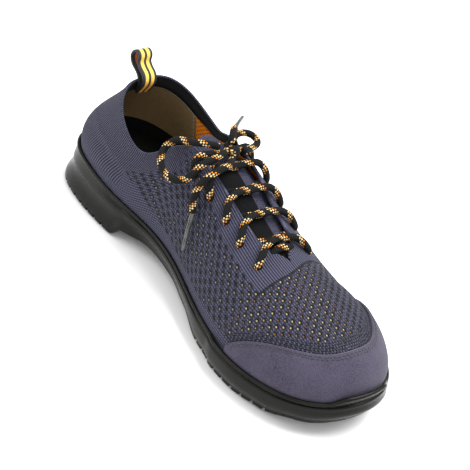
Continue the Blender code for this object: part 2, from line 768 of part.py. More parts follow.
def build_tongue(surface, collection):
    """The tongue: a strip under the throat's edges, crowned between them, with a rounded top."""
    grid = [tongue_section(row) for row in TONGUE_ROWS]
    mesh = mesh_from_grid("tongue", grid[::-1])
    tongue = add_object("tongue", mesh, surface, collection)
    shell = tongue.modifiers.new("Padding", "SOLIDIFY")
    shell.thickness = TONGUE_THICKNESS
    shell.offset = -1
    smooth(tongue)
    return tongue


# Pull loop and laces

def smooth_route(route, spacing):
    """Points about spacing apart on a smooth curve through a route's own points."""
    route = np.array(route, float)
    count = len(route)
    knots = np.concatenate([[0.0], np.cumsum(np.linalg.norm(np.diff(route, axis=0), axis=1))])
    spans = np.diff(knots)
    system = np.eye(count)
    right = np.zeros(route.shape)
    for i in range(1, count - 1):
        system[i, i - 1:i + 2] = spans[i - 1], 2 * (spans[i - 1] + spans[i]), spans[i]
        right[i] = 6 * (
            (route[i + 1] - route[i]) / spans[i] - (route[i] - route[i - 1]) / spans[i - 1]
        )
    bends = np.linalg.solve(system, right)
    at = np.linspace(0, knots[-1], max(2, round(knots[-1] / spacing)) + 1)
    k = np.clip(np.searchsorted(knots, at, side="right") - 1, 0, count - 2)
    span, d = spans[k][:, None], (at - knots[k])[:, None]
    slope = (route[k + 1] - route[k]) / span - span * (2 * bends[k] + bends[k + 1]) / 6
    return route[k] + d * slope + d**2 * bends[k] / 2 + d**3 * (bends[k + 1] - bends[k]) / (6 * span)


def build_pull_loop(surface, collection):
    """The ribbon loop sewn inside the collar's back edge, standing up in a soft S."""
    edge = LAST.top(0.0)
    folds = [edge + LOOP_RISE * np.array([row.forward, 0, row.rise]) for row in LOOP_FOLDS]
    collar_bow = LOOP_WIDTH / 7
    rear = WALL + CLEARANCE + collar_bow + LOOP_THICKNESS / 2
    front = rear + LOOP_THICKNESS + CLEARANCE
    tails = [[LAST.skin(0.0, height, -inset) for height in LOOP_TAILS] for inset in (rear, front)]
    points = smooth_route(tails[0] + folds + tails[1][::-1], RIBBON_STEP)
    across = np.array([0, LOOP_WIDTH / 2, 0])
    mesh = mesh_from_grid("pull_loop", [[p - across, p + across] for p in points])
    loop = add_object("pull_loop", mesh, surface, collection)
    shell = loop.modifiers.new("Ribbon", "SOLIDIFY")
    shell.thickness = LOOP_THICKNESS
    shell.offset = 0
    smooth(loop)
    return loop


def add_tube(name, points, diameter, surface, collection):
    """A round cord along points: a bevelled curve with filled ends."""
    line = bpy.data.curves.new(name, "CURVE")
    line.dimensions = "3D"
    line.bevel_depth = diameter / 2
    line.bevel_resolution = 2
    line.use_fill_caps = True
    spline = line.splines.new("POLY")
    spline.points.add(len(points) - 1)
    for point, place in zip(spline.points, points):
        point.co = (*place, 1.0)
    return add_object(name, line, surface, collection)


def made_mesh(piece, collection):
    """A curve object replaced by the welded mesh of its tube."""
    mesh = applied(piece)
    name = piece.name
    place = piece.matrix_world.copy()
    bpy.data.objects.remove(piece, do_unlink=True)
    made = add_object(name, mesh, None, collection)
    made.matrix_world = place
    return made


def above_hole(row, inner):
    centre, out = eyelet(row, inner)
    return centre + out * (LACE / 2 + 2 * CLEARANCE) - ORIGIN


def above_edge(station, inner):
    """A point where a lace bends over the throat's edge."""
    place = station if inner else TURN - station
    return LAST.skin(place, 1.0, LACE / 2 + 4 * CLEARANCE) - ORIGIN


def lace_runs():
    """Routes of the lace from hole to opposite hole over the throat, and from the last pair to the knot.

    Each bends over the edges at a third and two thirds of the way between its holes. One run of a pair lies
    lower than the other where they cross, and those to the knot stop inside its rim, below its middle.
    """
    runs = []
    beside = np.array([LACE / 6, 0, 0])
    for row, after in zip(EYELET_ROWS, EYELET_ROWS[1:]):
        ahead = row.station * 0.7 + after.station * 0.3
        behind = row.station * 0.3 + after.station * 0.7
        for inner in (True, False):
            start, stop = above_edge(ahead, inner), above_edge(behind, not inner)
            sag = LACE / 8 if inner else 3 * LACE / 8
            middle = (start + stop) / 2 - np.array([0, 0, sag])
            first, last = above_hole(row, inner), above_hole(after, not inner)
            runs.append([first + beside, start, middle, stop, last - beside])
    last = EYELET_ROWS[-1]
    below_knot = np.array(KNOT_CENTRE) - np.array([0, 0, KNOT / 5])
    for inner in (True, False):
        edge = above_edge(last.station - 0.05, inner)
        toward = below_knot - edge
        reach = np.linalg.norm(toward)
        end = edge + toward * (reach - KNOT * 0.62) / reach
        runs.append([above_hole(last, inner), edge, end])
    return runs


def build_crossings(surface, collection, cutters):
    """The laced crossings as one solid, lying over the throat and clear of tongue and upper."""
    pieces = []
    for i, route in enumerate(lace_runs()):
        tube = add_tube(f"lace_run_{i + 1}", smooth_route(route, RUN_STEP), LACE, None, cutters)
        pieces.append(made_mesh(tube, cutters))
    crossings = pieces[0]
    cutters.objects.unlink(crossings)
    collection.objects.link(crossings)
    crossings.name = "lace_crossings"
    crossings.data.materials.append(surface)
    for piece in pieces[1:]:
        piece.hide_render = True
        piece.display_type = "WIRE"
        cut(crossings, piece, "UNION")
    smooth(crossings)
    return crossings


def build_base_bar(surface, collection):
    """The straight bar at the throat's foot, between its two edges."""
    row = EYELET_ROWS[0]
    ends = [LAST.top(row.station), LAST.top(TURN - row.station)]
    middle = (ends[0] + ends[1]) / 2
    half = np.linalg.norm(ends[1] - ends[0]) / 2
    share = (half - WALL - 2 * CLEARANCE) / half
    points = [middle + (end - middle) * share - ORIGIN for end in ends]
    return add_tube("lace_base_bar", points, LACE, surface, collection)


def build_knot(surface, collection):
    """The bow's knot, as one rounded body."""
    mesh = bpy.data.meshes.new("lace_knot")
    shape = bmesh.new()
    bmesh.ops.create_uvsphere(shape, u_segments=12, v_segments=8, radius=KNOT / 2)
    size = Matrix.Diagonal((*KNOT_SHAPE, 1.0))
    bmesh.ops.transform(shape, matrix=Matrix.Translation(KNOT_CENTRE) @ size, verts=shape.verts)
    shape.to_mesh(mesh)
    shape.free()
    knot = add_object("lace_knot", mesh, surface, collection)
    smooth(knot)
    return knot


def clear_scene():
    for piece in list(bpy.data.objects):
        bpy.data.objects.remove(piece, do_unlink=True)


def new_collection(name):
    made = bpy.data.collections.new(name)
    bpy.context.scene.collection.children.link(made)
    return made


clear_scene()
SHOE = new_collection("safety_sneaker")
CUTTERS = new_collection("cutters")

KNIT = material("slate_knit", (0.085, 0.085, 0.135), 0.85)
SUEDE = material("slate_suede", (0.105, 0.095, 0.145), 0.95)
SOLE_FOAM = material("black_sole", (0.012, 0.012, 0.011), 0.45)
FOOTBED = material("black_footbed", (0.02, 0.02, 0.02), 0.9)
RIBBON = material("black_ribbon", (0.02, 0.02, 0.022), 0.7)
CORD = material("black_cord", (0.015, 0.015, 0.016), 0.6)
AGLET_FILM = material("grey_film", (0.25, 0.25, 0.24), 0.25)

build_sole(SOLE_FOAM, SHOE, CUTTERS)
build_upper(KNIT, SHOE, CUTTERS)
build_toe_cap(SUEDE, SHOE)
build_insole(FOOTBED, SHOE)
build_tongue(KNIT, SHOE)
build_pull_loop(RIBBON, SHOE)
build_base_bar(CORD, SHOE)
build_crossings(CORD, SHOE, CUTTERS)
build_knot(CORD, SHOE)
for name, route in (
    ("lace_loop_near", NEAR_LOOP),
    ("lace_loop_far", FAR_LOOP),
    ("lace_end_up", UP_END),
    ("lace_end_down", DOWN_END),
):
    add_tube(name, smooth_route(route, CORD_STEP), LACE, CORD, SHOE)
for name, route in (("aglet_up", UP_AGLET), ("aglet_down", DOWN_AGLET)):
    add_tube(name, smooth_route(route, AGLET_STEP), AGLET, AGLET_FILM, SHOE)
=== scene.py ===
import math
from collections import namedtuple

import bmesh
import bpy
import numpy as np
from mathutils import Matrix, Vector


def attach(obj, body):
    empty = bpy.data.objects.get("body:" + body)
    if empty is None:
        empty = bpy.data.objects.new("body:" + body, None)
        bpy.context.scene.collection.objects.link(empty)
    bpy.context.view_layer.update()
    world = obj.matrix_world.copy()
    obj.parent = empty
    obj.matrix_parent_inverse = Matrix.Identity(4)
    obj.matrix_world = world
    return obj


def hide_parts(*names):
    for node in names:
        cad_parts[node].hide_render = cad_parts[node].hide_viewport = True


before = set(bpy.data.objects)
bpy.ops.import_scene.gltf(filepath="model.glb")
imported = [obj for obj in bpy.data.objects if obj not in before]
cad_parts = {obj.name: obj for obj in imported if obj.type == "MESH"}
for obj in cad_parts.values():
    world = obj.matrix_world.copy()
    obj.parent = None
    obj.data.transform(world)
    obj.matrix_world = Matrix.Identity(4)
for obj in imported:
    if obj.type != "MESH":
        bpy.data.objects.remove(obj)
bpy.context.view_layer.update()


# Camera
# A low three-quarter view from the toe's inner side. The camera is rolled, which tilts the standing shoe
# as in the photograph, and aimed at the middle of the shoe.

CAMERA_TARGET = Vector((0.110, 0.0, 0.045))
CAMERA_AZIMUTH = math.radians(42.0)
CAMERA_ELEVATION = math.radians(34.8)
CAMERA_ROLL = math.radians(17.3)
CAMERA_DISTANCE = 0.980
CAMERA_LENS = 117.6


def place_camera():
    """A camera behind its target, turned about its own axis by the roll."""
    back = Vector((
        math.sin(CAMERA_AZIMUTH) * math.cos(CAMERA_ELEVATION),
        -math.cos(CAMERA_AZIMUTH) * math.cos(CAMERA_ELEVATION),
        math.sin(CAMERA_ELEVATION),
    ))
    level = Vector((0, 0, 1)).cross(back).normalized()
    upright = back.cross(level)
    right = level * math.cos(CAMERA_ROLL) + upright * math.sin(CAMERA_ROLL)
    up = upright * math.cos(CAMERA_ROLL) - level * math.sin(CAMERA_ROLL)
    camera = bpy.data.objects.new("camera", bpy.data.cameras.new("camera"))
    camera.data.lens = CAMERA_LENS
    camera.data.clip_start = 0.05
    turn = Matrix((right, up, back)).transposed().to_4x4()
    camera.matrix_world = Matrix.Translation(CAMERA_TARGET + back * CAMERA_DISTANCE) @ turn
    bpy.context.scene.collection.objects.link(camera)
    bpy.context.scene.camera = camera


place_camera()


# Bow, knot and lace ends
# One round braided cord, black with short groups of cream and orange checks. It is tied in a bow over the
# tongue: a knot, a large loop on the inner side, a small one on the outer side, and two ends with clear
# tips.

LACE = 0.0046
AGLET = 0.0034
LACE_SIDES = 16
LACE_STEP = 0.0011
KNOT_STEP = 0.0007
TIP_STEP = 0.0006
KNOT_CENTRE = (0.083, 0.002, 0.092)
NEAR_LOOP = (
    (0.0795, -0.0052, 0.0945), (0.0760, -0.0120, 0.0955), (0.0670, -0.0190, 0.0925),
    (0.0600, -0.0225, 0.0900), (0.0565, -0.0275, 0.0840), (0.0605, -0.0335, 0.0790),
    (0.0700, -0.0370, 0.0755), (0.0790, -0.0360, 0.0755), (0.0850, -0.0305, 0.0790),
    (0.0880, -0.0250, 0.0893), (0.0890, -0.0180, 0.0932), (0.0868, -0.0060, 0.0948),
)
FAR_LOOP = (
    (0.0785, 0.0085, 0.0935), (0.0725, 0.0140, 0.0945), (0.0720, 0.0200, 0.0950),
    (0.0765, 0.0255, 0.0945), (0.0810, 0.0260, 0.0930), (0.0845, 0.0195, 0.0920),
    (0.0860, 0.0112, 0.0925),
)
UP_END = (
    (0.0818, 0.0018, 0.0981), (0.0813, 0.0022, 0.1004), (0.0790, 0.0042, 0.1023),
    (0.0750, 0.0085, 0.1025),
)
UP_AGLET = ((0.0748, 0.0088, 0.1025), (0.0685, 0.0175, 0.1015), (0.0620, 0.0265, 0.0995))
DOWN_END = (
    (0.0905, -0.0020, 0.0912), (0.0950, -0.0090, 0.0915), (0.0970, -0.0160, 0.0912),
    (0.0975, -0.0235, 0.0888), (0.0958, -0.0288, 0.0808), (0.0957, -0.0308, 0.0720),
    (0.0995, -0.0320, 0.0632),
)
DOWN_AGLET = ((0.0998, -0.0322, 0.0628), (0.1035, -0.0362, 0.0525), (0.1080, -0.0398, 0.0415))
# The knot's turns round the bow, from its centre, in lace widths
KNOT_TURN = ((-0.1, -0.75, 0.15), (0.45, -0.5, 0.55), (0.55, 0.2, 0.62), (0.25, 0.85, 0.35),
             (-0.35, 0.95, -0.1), (-0.75, 0.45, 0.1), (-0.65, -0.15, 0.5), (-0.15, -0.35, 0.62),
             (0.5, -0.1, 0.2), (0.75, 0.45, -0.1), (0.35, 0.75, -0.35), (-0.2, 0.3, -0.45))


def reach_along(points):
    """Lengths from a line's first point to each of its points."""
    steps = np.linalg.norm(np.diff(np.asarray(points, float), axis=0), axis=1)
    return np.concatenate([[0.0], np.cumsum(steps)])


def smooth_route(route, spacing):
    """Points about spacing apart on a smooth curve through a route's own points."""
    route = np.array(route, float)
    count = len(route)
    knots = reach_along(route)
    spans = np.diff(knots)
    system = np.eye(count)
    right = np.zeros(route.shape)
    for i in range(1, count - 1):
        system[i, i - 1:i + 2] = spans[i - 1], 2 * (spans[i - 1] + spans[i]), spans[i]
        right[i] = 6 * (
            (route[i + 1] - route[i]) / spans[i] - (route[i] - route[i - 1]) / spans[i - 1]
        )
    bends = np.linalg.solve(system, right)
    at = np.linspace(0, knots[-1], max(2, round(knots[-1] / spacing)) + 1)
    k = np.clip(np.searchsorted(knots, at, side="right") - 1, 0, count - 2)
    span, d = spans[k][:, None], (at - knots[k])[:, None]
    slope = (route[k + 1] - route[k]) / span - span * (2 * bends[k] + bends[k + 1]) / 6
    return route[k] + d * slope + d**2 * bends[k] / 2 + d**3 * (bends[k + 1] - bends[k]) / (6 * span)


def add_piece(name, mesh, finishes, body="root"):
    """An object in the scene that rides on the shoe, attached to its body's empty."""
    piece = bpy.data.objects.new(name, mesh)
    bpy.context.scene.collection.objects.link(piece)
    for finish in finishes:
        mesh.materials.append(finish)
    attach(piece, body)
    return piece


def tube_rings(points, radii, sides):
    """Rings of points about a line, turned as little as the line allows."""
    points = np.array(points, float)
    along = np.gradient(points, axis=0)
    along /= np.linalg.norm(along, axis=1, keepdims=True)
    beside = np.cross(along[0], [0.0, 0.0, 1.0])
    if np.linalg.norm(beside) < 0.1:
        beside = np.cross(along[0], [0.0, 1.0, 0.0])
    turns = np.linspace(0, 2 * math.pi, sides, endpoint=False)
    rings = []
    for point, ahead, radius in zip(points, along, radii):
        beside = beside - ahead * np.dot(beside, ahead)
        beside /= np.linalg.norm(beside)
        over = np.cross(ahead, beside)
        rings.append(point + radius * (np.outer(np.cos(turns), beside) + np.outer(np.sin(turns), over)))
    return np.array(rings)


def tube_faces(count, sides, first=0):
    """Faces of a closed tube over count rings whose points start at first, the two ends last."""
    faces = []
    for i in range(count - 1):
        near, far = first + i * sides, first + (i + 1) * sides
        for j in range(sides):
            k = (j + 1) % sides
            faces.append((near + j, near + k, far + k, far + j))
    faces.append(tuple(first + j for j in range(sides))[::-1])
    faces.append(tuple(first + (count - 1) * sides + j for j in range(sides)))
    return faces


def tube_mesh(name, points, radii, sides):
    """A closed tube; its UV map runs in metres along and round it."""
    rings = tube_rings(points, radii, sides)
    reach = reach_along(points)
    around = np.linspace(0, 2 * math.pi * max(radii), sides + 1)
    places = []
    for near, far in zip(reach, reach[1:]):
        for low, high in zip(around, around[1:]):
            places += [(near, low), (near, high), (far, high), (far, low)]
    places += [(0.0, 0.0)] * sides + [(reach[-1], 0.0)] * sides
    mesh = bpy.data.meshes.new(name)
    mesh.from_pydata(rings.reshape(-1, 3).tolist(), [], tube_faces(len(rings), sides))
    layer = mesh.uv_layers.new(name="lengths")
    layer.data.foreach_set("uv", np.array(places, np.float32).ravel())
    mesh.shade_smooth()
    return mesh


class Field:
    """A value that changes over a surface: a socket of a shader tree, with plain arithmetic."""

    def __init__(self, socket):
        self.socket = socket
        self.tree = socket.id_data

    def __add__(self, other):
        return calc("ADD", self, other)

    def __radd__(self, other):
        return calc("ADD", self, other)

    def __sub__(self, other):
        return calc("SUBTRACT", self, other)

    def __rsub__(self, other):
        return calc("SUBTRACT", other, self)

    def __mul__(self, other):
        return calc("MULTIPLY", self, other)

    def __rmul__(self, other):
        return calc("MULTIPLY", self, other)

    def __truediv__(self, other):
        return calc("DIVIDE", self, other)

    def __mod__(self, other):
        return calc("FLOORED_MODULO", self, other)

    def __abs__(self):
        return calc("ABSOLUTE", self)


def feed(node, values):
    """Sets a node's inputs by name, or by number as i0, i1; a field is linked."""
    for name, value in values.items():
        key = int(name[1:]) if name[0] == "i" and name[1:].isdigit() else name.replace("_", " ")
        if isinstance(value, Field):
            value.tree.links.new(value.socket, node.inputs[key])
        else:
            node.inputs[key].default_value = value


def put(tree, kind, settings=None, **values):
    """A shader node with its settings and inputs."""
    made = tree.nodes.new("ShaderNode" + kind)
    for name, value in (settings or {}).items():
        setattr(made, name, value)
    feed(made, values)
    return made


def calc(operation, *values):
    """A Math node's result for fields and numbers."""
    tree = next(value.tree for value in values if isinstance(value, Field))
    inputs = {f"i{i}": value for i, value in enumerate(values)}
    return Field(put(tree, "Math", {"operation": operation}, **inputs).outputs[0])


def step_up(value, low, high):
    """Rises softly from 0 to 1 as value goes from low to high, or falls where low is the larger."""
    rises = low < high
    made = put(
        value.tree, "MapRange", {"interpolation_type": "SMOOTHSTEP"},
        Value=value, From_Min=min(low, high), From_Max=max(low, high),
        To_Min=0.0 if rises else 1.0, To_Max=1.0 if rises else 0.0,
    )
    return Field(made.outputs[0])


def mixed(mask, first, second):
    """The first colour where mask is 0, the second where it is 1."""
    return Field(put(mask.tree, "Mix", {"data_type": "RGBA"}, i0=mask, i6=first, i7=second).outputs[2])


def parts(vector):
    """x, y and z of a vector field."""
    return [Field(socket) for socket in put(vector.tree, "SeparateXYZ", Vector=vector).outputs]


def vector_of(x, y):
    """A vector field from two of its parts."""
    return Field(put(x.tree, "CombineXYZ", i0=x, i1=y).outputs[0])


def noise(place, scale, detail, roughness=0.5):
    """Soft noise about 0.5."""
    made = put(place.tree, "TexNoise", Vector=place, Scale=scale, Detail=detail, Roughness=roughness)
    return Field(made.outputs[0])


def rgb(red, green, blue):
    """An opaque colour, in linear light."""
    return (red, green, blue, 1.0)


def new_group(name, inputs, outputs):
    """A shader node group over a Vector: its number inputs have values, its number outputs only names."""
    group = bpy.data.node_groups.new(name, "ShaderNodeTree")
    group.interface.new_socket("Vector", in_out="INPUT", socket_type="NodeSocketVector")
    for key, value in inputs.items():
        socket = group.interface.new_socket(key, in_out="INPUT", socket_type="NodeSocketFloat")
        socket.default_value = value
    for key in outputs:
        group.interface.new_socket(key, in_out="OUTPUT", socket_type="NodeSocketFloat")
    given = {socket.name: Field(socket) for socket in group.nodes.new("NodeGroupInput").outputs}
    return group, given, group.nodes.new("NodeGroupOutput")


def use_group(group, place, **values):
    """The fields that a group gives at place, with its own values."""
    made = place.tree.nodes.new("ShaderNodeGroup")
    made.node_tree = group
    feed(made, {"Vector": place, **values})
    return {socket.name: Field(socket) for socket in made.outputs}


class Finish:
    """A material while it is made: plain values of its shader, and where a point lies on its piece."""

    def __init__(self, name, roughness, **settings):
        self.material = bpy.data.materials.new(name)
        self.material.use_nodes = True
        self.tree = self.material.node_tree
        self.shader = self.tree.nodes["Principled BSDF"]
        feed(self.shader, {"Roughness": roughness, **settings})

    def place(self):
        """The place in the part's own metres."""
        return Field(put(self.tree, "TexCoord").outputs["Object"])

    def lengths(self):
        """The place along and across the piece, in metres."""
        return Field(put(self.tree, "UVMap", {"uv_map": "lengths"}).outputs[0])

    def mark(self, name):
        """A value that the mesh carries at its points."""
        return Field(put(self.tree, "Attribute", {"attribute_name": name}).outputs["Fac"])

    def done(self, colour, height, depth, **more):
        """Takes its colour and relief; the height is in shares of depth, in metres."""
        bump = put(self.tree, "Bump", Height=height, Distance=depth, Strength=1.0)
        feed(self.shader, {"Base_Color": colour, "Normal": Field(bump.outputs[0]), **more})
        return self.material


def build_grain_group():
    """Fine irregular grain: its height, a shade from 0 to 1, and larger, softer spots."""
    group, given, result = new_group("grain", {"Scale": 1000.0, "Spots": 60.0}, ("Height", "Shade", "Spot"))
    fine = noise(given["Vector"], given["Scale"], 3.0, 0.6)
    broad = noise(given["Vector"], given["Spots"], 2.0)
    feed(result, {"Height": fine, "Shade": step_up(fine, 0.3, 0.7), "Spot": step_up(broad, 0.3, 0.7)})
    return group


GRAIN = build_grain_group()
BRAID_TURN = 0.0125
BRAID_STRANDS = 8
LIGHT_STRANDS = 3


def lace_material():
    """A braid of eight strands each way round; three of one way are light and surface as slanted checks."""
    braid = Finish("braided_lace", 0.7, Specular_IOR_Level=0.15)
    length, girth, _ = parts(braid.lengths())
    along = length * (BRAID_STRANDS / BRAID_TURN)
    around = girth * (BRAID_STRANDS / (math.pi * LACE))
    strands = (along - around, along + around)
    numbers = [calc("FLOOR", strand) for strand in strands]
    parity = (numbers[0] + numbers[1]) % 2.0
    sides = [calc("POWER", abs(calc("FRACT", strand) - 0.5), 2.0) * 4.0 for strand in strands]
    over, under = (1.0 - sides[i] - sides[1 - i] * 0.5 for i in (0, 1))
    height = over + (under - over) * parity
    place = numbers[0] % float(BRAID_STRANDS)
    light = calc("LESS_THAN", place, LIGHT_STRANDS - 0.5) * (1.0 - parity) * step_up(height, 0.05, 0.3)
    bright = mixed(calc("LESS_THAN", place, 0.5), rgb(0.80, 0.58, 0.27), rgb(0.62, 0.20, 0.015))
    # painted shade where a strand dips under its neighbours, painted light on its crown
    dark = mixed(step_up(height, 0.0, 1.0), rgb(0.002, 0.002, 0.002), rgb(0.009, 0.010, 0.0095))
    return braid.done(mixed(light, dark, bright), height, 0.0004)


def tip_material():
    """The film round a lace tip: clear grey, thin and glossy."""
    film = Finish("lace_tip_film", 0.22, Coat_Weight=0.4, Coat_Roughness=0.1)
    grain = use_group(GRAIN, film.lengths(), Scale=900.0, Spots=160.0)
    colour = mixed(grain["Spot"], rgb(0.018, 0.019, 0.017), rgb(0.07, 0.07, 0.066))
    return film.done(colour, grain["Height"], 0.0001)


BRAID = lace_material()
TIP_FILM = tip_material()


def add_lace(name, route, spacing=LACE_STEP):
    """A stretch of the lace along a smooth route, and the points that it follows."""
    points = smooth_route(route, spacing)
    mesh = tube_mesh(name, points, [LACE / 2] * len(points), LACE_SIDES)
    return add_piece(name, mesh, [BRAID]), points


def add_tip(name, route, node):
    """A lace tip: the film's tube, pinched at both ends."""
    points = smooth_route(route, TIP_STEP)
    reach = np.linspace(0, 1, len(points))
    pinch = 1 - 0.14 * np.exp(-((reach / 0.05) ** 2)) - 0.22 * np.exp(-(((1 - reach) / 0.03) ** 2))
    flat = 1 - 0.22 * np.clip((reach - 0.1) / 0.3, 0, 1)
    mesh = tube_mesh(name, points, AGLET / 2 * pinch * flat, 12)
    piece = add_piece(name, mesh, [TIP_FILM])
    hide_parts(node)
    return piece


def build_bow():
    """The knot's turns, both loops and both ends, each where its solid lies."""
    near, near_points = add_lace("bow_loop_near", NEAR_LOOP)
    far, far_points = add_lace("bow_loop_far", FAR_LOOP)
    up, _ = add_lace("lace_up", UP_END + UP_AGLET[:1])
    down, down_points = add_lace("lace_down", DOWN_END)
    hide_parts("lace_loop_near")
    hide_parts("lace_loop_far")
    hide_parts("lace_end_up")
    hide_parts("lace_end_down")
    tip_up = add_tip("tip_up", UP_AGLET, "aglet_up")
    tip_down = add_tip("tip_down", DOWN_AGLET, "aglet_down")
    turns = [np.array(KNOT_CENTRE) + LACE * np.array(place) for place in KNOT_TURN + KNOT_TURN[:1]]
    knot, _ = add_lace("bow_knot", turns, KNOT_STEP)
    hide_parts("lace_knot")


build_bow()


# Sole
# A one-piece unit sole of black moulded foam rubber: a lip with a bead round the upper, a groove and a
# second ridge below it, a hollowed wall, a flared heel, a toe bumper and a lugged tread. The upper is
# glued into its seat.

LAST_LENGTH = 0.288
BALL_HALF = 0.051
SOLE_HEEL = 0.031
COLLAR_BACK = 0.093
INSTEP = 0.088
HEEL_CENTRE = 0.040
WALL = 0.0022
CLEARANCE = 0.0003
SEAT_DEPTH = 0.004
CAP_THICKNESS = 0.0014
FLARE = 0.0056
BEAD = 0.0013
BUMPER_RISE = 0.0045
BUMPER_FOOT = 10.75
BUMPER_PLATEAU = 11.35
LUG_DEPTH = 0.0035
LUG_PITCH = 0.0085
LUG_GROOVE = 0.0028
LUG_REACH = 0.017
LUG_TURN = math.radians(14)
SHARP_EDGE = math.radians(38)
CAP_MIDDLE = 0.937 * LAST_LENGTH
CAP_ENDS = 0.750 * LAST_LENGTH
CAP_CURVE = 2.5
CAP_SPREAD = 0.98 * BALL_HALF
LIP_TURN = 0.5
SOLE_COLUMNS = 260

Feather = namedtuple("Feather", "x y_inner y_outer height")
FEATHER_LINE = (
    # the line where upper and sole meet: x in LAST_LENGTH, y in BALL_HALF, height in SOLE_HEEL
    Feather((0.000, 0.000), 0.00, 0.00, 1.00),
    Feather((0.034, 0.034), -0.46, 0.46, 0.98),
    Feather((0.130, 0.130), -0.64, 0.68, 0.92),
    Feather((0.246, 0.246), -0.67, 0.74, 0.88),
    Feather((0.372, 0.372), -0.60, 0.78, 0.82),
    Feather((0.478, 0.478), -0.66, 0.85, 0.76),
    Feather((0.585, 0.585), -0.83, 0.93, 0.70),
    Feather((0.691, 0.691), -0.98, 0.96, 0.66),
    Feather((0.783, 0.774), -1.02, 0.96, 0.66),
    Feather((0.860, 0.850), -0.95, 0.89, 0.69),
    Feather((0.934, 0.926), -0.76, 0.68, 0.75),
    Feather((0.984, 0.982), -0.43, 0.34, 0.84),
    Feather((1.000, 1.000), -0.05, -0.05, 0.92),
)
TopEdge = namedtuple("TopEdge", "x y_inner y_outer z_inner z_outer rise")
TOP_EDGE = (
    # collar and throat, then the ridge over the toe: x in LAST_LENGTH, y in BALL_HALF, z in rise
    TopEdge(0.092, 0.04, 0.04, 0.930, 0.930, COLLAR_BACK),
    TopEdge(0.104, -0.25, 0.33, 0.915, 0.940, COLLAR_BACK),
    TopEdge(0.160, -0.52, 0.60, 0.810, 0.875, COLLAR_BACK),
    TopEdge(0.268, -0.56, 0.66, 0.700, 0.775, COLLAR_BACK),
    TopEdge(0.358, -0.38, 0.42, 0.920, 0.910, COLLAR_BACK),
    TopEdge(0.468, -0.32, 0.34, 0.950, 0.950, INSTEP),
    TopEdge(0.556, -0.27, 0.29, 0.835, 0.835, INSTEP),
    TopEdge(0.650, -0.20, 0.22, 0.735, 0.735, INSTEP),
    TopEdge(0.700, 0.00, 0.00, 0.700, 0.700, INSTEP),
    TopEdge(0.786, -0.02, -0.02, 0.645, 0.645, INSTEP),
    TopEdge(0.847, -0.05, -0.05, 0.600, 0.600, INSTEP),
    TopEdge(0.875, -0.08, -0.08, 0.575, 0.575, INSTEP),
    TopEdge(0.885, -0.09, -0.09, 0.565, 0.565, INSTEP),
)
Fullness = namedtuple("Fullness", "low_out low_up high_out high_up")
WALL_FULLNESS = (
    # the wall curve's handles: low ones and high_up in the wall's rise, high_out in its reach
    Fullness(0.10, 0.40, 0.30, -0.35),
    Fullness(0.10, 0.40, 0.30, -0.32),
    Fullness(0.12, 0.38, 0.22, -0.30),
    Fullness(0.12, 0.36, 0.15, -0.25),
    Fullness(0.12, 0.36, 0.18, -0.22),
    Fullness(0.10, 0.40, 0.30, -0.16),
    Fullness(0.06, 0.38, 0.33, -0.12),
    Fullness(0.05, 0.36, 0.35, -0.08),
    Fullness(0.07, 0.40, 0.45, -0.01),
    Fullness(0.08, 0.50, 0.55, 0.00),
    Fullness(0.09, 0.56, 0.52, 0.00),
    Fullness(0.08, 0.64, 0.50, 0.00),
    Fullness(0.07, 0.68, 0.50, 0.00),
)
SoleSide = namedtuple("SoleSide", "ridge wall_inner wall_outer flare_inner flare_outer")
SOLE_SIDES = (
    # ridge in the side's height below the bead, the rest in FLARE
    SoleSide(0.36, 0.20, 0.20, 1.00, 1.00),
    SoleSide(0.36, 0.20, 0.20, 1.00, 1.00),
    SoleSide(0.34, 0.20, 0.20, 0.95, 0.95),
    SoleSide(0.26, 0.20, 0.20, 0.75, 0.80),
    SoleSide(0.22, 0.05, 0.20, 0.00, 0.45),
    SoleSide(0.20, 0.00, 0.30, -0.10, 0.40),
    SoleSide(0.20, 0.20, 0.45, -0.05, 0.30),
    SoleSide(0.22, 0.40, 0.45, -0.05, 0.15),
    SoleSide(0.22, 0.40, 0.45, -0.10, 0.10),
    SoleSide(0.22, 0.45, 0.45, -0.10, 0.00),
    SoleSide(0.22, 0.55, 0.55, -0.05, 0.00),
    SoleSide(0.24, 0.65, 0.65, 0.10, 0.10),
    SoleSide(0.26, 0.70, 0.70, 0.05, 0.05),
)
Tread = namedtuple("Tread", "x inner outer")
TREAD_LINE = (
    # x in LAST_LENGTH, height of the tread above the floor in SOLE_HEEL
    Tread(-0.05, 0.12, 0.12), Tread(0.020, 0.00, 0.00), Tread(0.260, 0.00, 0.00), Tread(0.292, 0.26, 0.22),
    Tread(0.380, 0.34, 0.24), Tread(0.480, 0.30, 0.20), Tread(0.560, 0.22, 0.10), Tread(0.650, 0.00, 0.00),
    Tread(0.800, 0.00, 0.00), Tread(0.880, 0.06, 0.06), Tread(0.950, 0.20, 0.20), Tread(1.050, 0.46, 0.46),
)
TreadPad = namedtuple("TreadPad", "start stop")
TREAD_PADS = (TreadPad(0.050, 0.245), TreadPad(0.650, 0.900))

TOE = len(FEATHER_LINE) - 1
TURN = 2 * TOE
THROAT_BASE = 8
ORIGIN = np.array([HEEL_CENTRE, 0.0, 0.0])


def closed_loop(inner, outer):
    """One value a station, heel to toe on the inner side and back along the outer side."""
    return np.array(list(inner) + list(outer[-2:0:-1]), float)


def closed_spline(values, knots):
    """Second derivatives of the periodic cubic through values at knots."""
    count = len(values)
    spans = np.diff(knots)
    system = np.zeros((count, count))
    right = np.zeros(count)
    for i in range(count):
        after = (i + 1) % count
        system[i, i - 1] += spans[i - 1]
        system[i, i] += 2 * (spans[i - 1] + spans[i])
        system[i, after] += spans[i]
        right[i] = 6 * (
            (values[after] - values[i]) / spans[i] - (values[i] - values[i - 1]) / spans[i - 1]
        )
    return np.linalg.solve(system, right)


